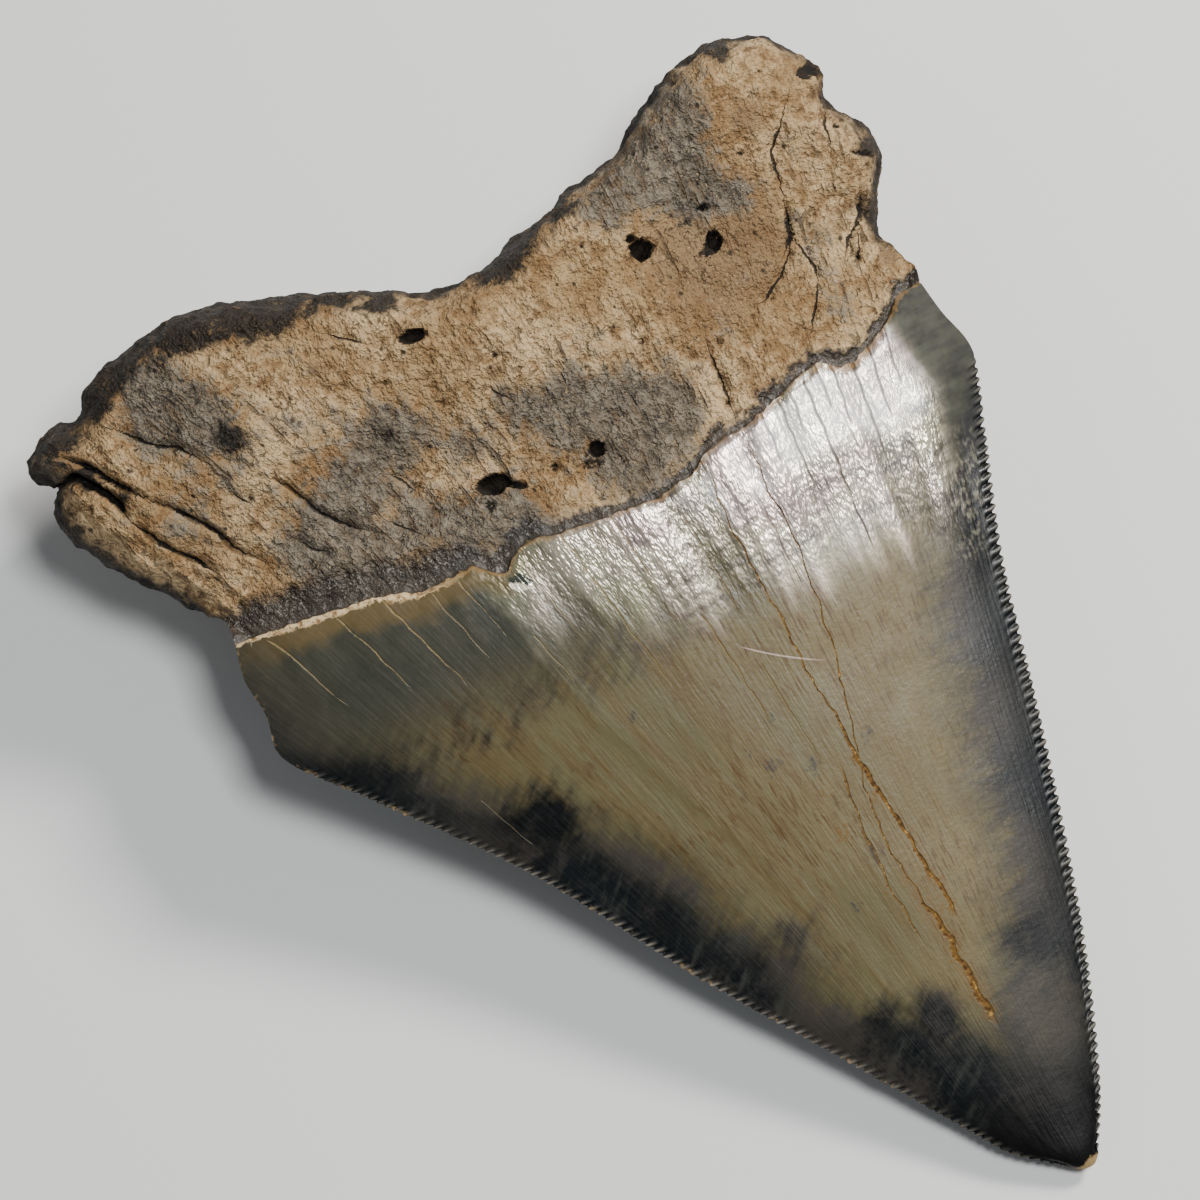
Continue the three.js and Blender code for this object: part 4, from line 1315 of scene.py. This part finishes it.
def refine(tooth, chosen, cuts):
    """Divides the chosen faces further."""
    mesh = tooth.data
    wanted = chosen(face_centres(mesh))
    bpy.ops.object.mode_set(mode="EDIT")
    bpy.ops.mesh.select_mode(type="FACE")
    bpy.ops.mesh.select_all(action="DESELECT")
    bpy.ops.object.mode_set(mode="OBJECT")
    mesh.polygons.foreach_set("select", wanted)
    bpy.ops.object.mode_set(mode="EDIT")
    bpy.ops.mesh.subdivide(number_cuts=cuts, ngon=False)
    bpy.ops.object.mode_set(mode="OBJECT")


def is_root_face(centres):
    return (centres[:, 2] > 0) & (centres[:, 1] > NECK_LINE)


def is_cutting_edge(centres):
    return (abs(centres[:, 0]) > 1 - 2 * BAND_COLUMNS / COLUMNS) & (centres[:, 1] < NECK_LINE)


def part_finishes(tooth):
    """Gives the enamel's faces, with its broken edge, one finish, and the root's another."""
    in_root = face_centres(tooth.data)[:, 1] > NECK_LINE + 2 / ROWS
    tooth.data.polygons.foreach_set("material_index", in_root.astype(np.int32))


class ToothSettings(bpy.types.PropertyGroup):
    pore_count: IntProperty(
        name="Pores", description="Number of small pits on the root's face", default=90, min=0
    )
    pore_seed: IntProperty(
        name="Pore seed", description="Start of the pores' random places", default=7, min=0
    )
    roughness: FloatProperty(
        name="Root roughness", description="Share of the root's full relief", default=1, min=0
    )
    grain_depth: FloatProperty(
        name="Grain depth", description="Share of the finish's fine relief", default=1, min=0
    )


class StageSettings(bpy.types.PropertyGroup):
    floor_colour: FloatVectorProperty(
        name="Floor", description="Colour of the floor", subtype="COLOR", size=4,
        default=(0.62, 0.63, 0.63, 1),
    )
    key_power: FloatProperty(
        name="Key light", description="Power of the main light", unit="POWER", default=5.4
    )
    glare_power: FloatProperty(
        name="Glare light", description="Power of the light that the enamel mirrors",
        unit="POWER", default=3.4,
    )
    fill_power: FloatProperty(
        name="Fill light", description="Power of the light from the far side",
        unit="POWER", default=0.5,
    )
    camera_distance: FloatProperty(
        name="Camera distance", description="From the camera to the tooth", unit="LENGTH",
        default=0.45,
    )
    view_width: FloatProperty(
        name="View width", description="Width of the view at the tooth", unit="LENGTH",
        default=0.1,
    )


class MESH_OT_fossil_tooth(bpy.types.Operator):
    """Model the fossil tooth, and give it its finish"""

    bl_idname = "mesh.fossil_tooth"
    bl_label = "Fossil tooth"

    def execute(self, context):
        settings = context.scene.fossil_tooth
        clear_selection()
        back = add_sheet("back", -1)
        flip_faces()
        tooth = add_sheet(PIECE, 1)
        back.select_set(True)
        bpy.ops.object.join()
        close_rim()
        refine(tooth, is_root_face, ROOT_CUTS)
        refine(tooth, is_cutting_edge, BAND_CUTS)
        tooth.data.materials.append(enamel_material(settings))
        tooth.data.materials.append(root_material(settings))
        part_finishes(tooth)
        shape_tooth(tooth, settings)
        bpy.ops.object.shade_smooth_by_angle(angle=SHARP_ANGLE)
        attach(tooth, BODY)
        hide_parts(NODE)
        return {"FINISHED"}


def looking(direction, up):
    """Turn of a camera or a light that looks against a direction."""
    back = Vector(direction).normalized()
    right = Vector(up).cross(back).normalized()
    return Matrix((right, back.cross(right), back)).transposed().to_4x4()


# The direction that a light's square has as its up; never quite that of a light itself
LIGHT_UP = (0, 1, 0.01)


def add_light(name, direction, distance, size, power, target, colour):
    bpy.ops.object.light_add(type="AREA")
    light = bpy.context.object
    light.name = name
    light.data.size = size
    light.data.energy = power
    light.data.color = colour
    back = Vector(direction).normalized()
    turn = looking(back, LIGHT_UP)
    light.matrix_world = Matrix.Translation(target + back * distance) @ turn


# The floor, the camera and the backdrop, in m
FLOOR_SIZE = 6
FLOOR_GAP = 0.00005
FLOOR_ROUGHNESS = 0.8
CLIP_START = 0.01
WORLD_COLOUR = (0.7, 0.72, 0.74, 1)
WORLD_STRENGTH = 0.22

# Each light: its name, how far it leans right and up in the view against one step towards the
# camera, its distance, its size and its colour
LIGHTS = (
    ("key", 0.8, 1.1, 0.6, 0.14, (1, 0.96, 0.9)),
    ("glare", 0.2, 0.2, 0.6, 0.12, (1, 1, 1)),
    ("fill", -1.2, 0.3, 0.8, 0.5, (0.9, 0.95, 1)),
)


class SCENE_OT_fossil_tooth_stage(bpy.types.Operator):
    """Set the floor, the lights and the camera"""

    bl_idname = "scene.fossil_tooth_stage"
    bl_label = "Stage"

    def execute(self, context):
        settings = context.scene.fossil_tooth_stage
        clear_selection()
        bpy.ops.mesh.primitive_plane_add(size=FLOOR_SIZE, location=(0, 0, -FLOOR_GAP))
        floor = context.object
        floor.name = "floor"
        finish = Finish("floor")
        finish.set("Base Color", settings.floor_colour)
        finish.set("Roughness", FLOOR_ROUGHNESS)
        floor.data.materials.append(finish.material)

        lean, turn = LIE_ANGLE, VIEW_TURN
        facing = Vector((0, -math.sin(lean), math.cos(lean)))
        rootward = Vector((0, math.cos(lean), math.sin(lean)))
        sideways = Vector((1, 0, 0))
        up = sideways * math.sin(turn) + rootward * math.cos(turn)
        right = sideways * math.cos(turn) - rootward * math.sin(turn)
        target = Vector(VIEW_CENTRE)

        bpy.ops.object.camera_add()
        camera = context.object
        distance = settings.camera_distance
        place = Matrix.Translation(target + facing * distance)
        camera.matrix_world = place @ looking(facing, up)
        camera.data.lens = camera.data.sensor_width * distance / settings.view_width
        camera.data.clip_start = CLIP_START
        context.scene.camera = camera

        for name, sideward, upward, distance, size, colour in LIGHTS:
            direction = facing + right * sideward + up * upward
            power = getattr(settings, f"{name}_power")
            add_light(name, direction, distance, size, power, target, colour)

        world = bpy.data.worlds.new("studio")
        world.use_nodes = True
        backdrop = world.node_tree.nodes["Background"].inputs
        backdrop["Color"].default_value = WORLD_COLOUR
        backdrop["Strength"].default_value = WORLD_STRENGTH
        context.scene.world = world
        return {"FINISHED"}


class VIEW3D_PT_fossil_tooth(bpy.types.Panel):
    """Lists the steps that build the tooth, with their settings"""

    bl_label = "Fossil tooth"
    bl_space_type = "VIEW_3D"
    bl_region_type = "UI"
    bl_category = "Fossil tooth"

    def draw(self, context):
        scene = context.scene
        for operator, settings in (
            (MESH_OT_fossil_tooth, scene.fossil_tooth),
            (SCENE_OT_fossil_tooth_stage, scene.fossil_tooth_stage),
        ):
            box = self.layout.box()
            for name in settings.bl_rna.properties.keys():
                if name not in ("rna_type", "name"):
                    box.prop(settings, name)
            box.operator(operator.bl_idname)


CLASSES = (
    ToothSettings,
    StageSettings,
    MESH_OT_fossil_tooth,
    SCENE_OT_fossil_tooth_stage,
    VIEW3D_PT_fossil_tooth,
)


def register():
    for one in CLASSES:
        bpy.utils.register_class(one)
    bpy.types.Scene.fossil_tooth = PointerProperty(type=ToothSettings)
    bpy.types.Scene.fossil_tooth_stage = PointerProperty(type=StageSettings)


def unregister():
    del bpy.types.Scene.fossil_tooth
    del bpy.types.Scene.fossil_tooth_stage
    for one in reversed(CLASSES):
        bpy.utils.unregister_class(one)


def main():
    register()
    bpy.ops.mesh.fossil_tooth()
    bpy.ops.scene.fossil_tooth_stage()


if __name__ == "__main__":
    main()
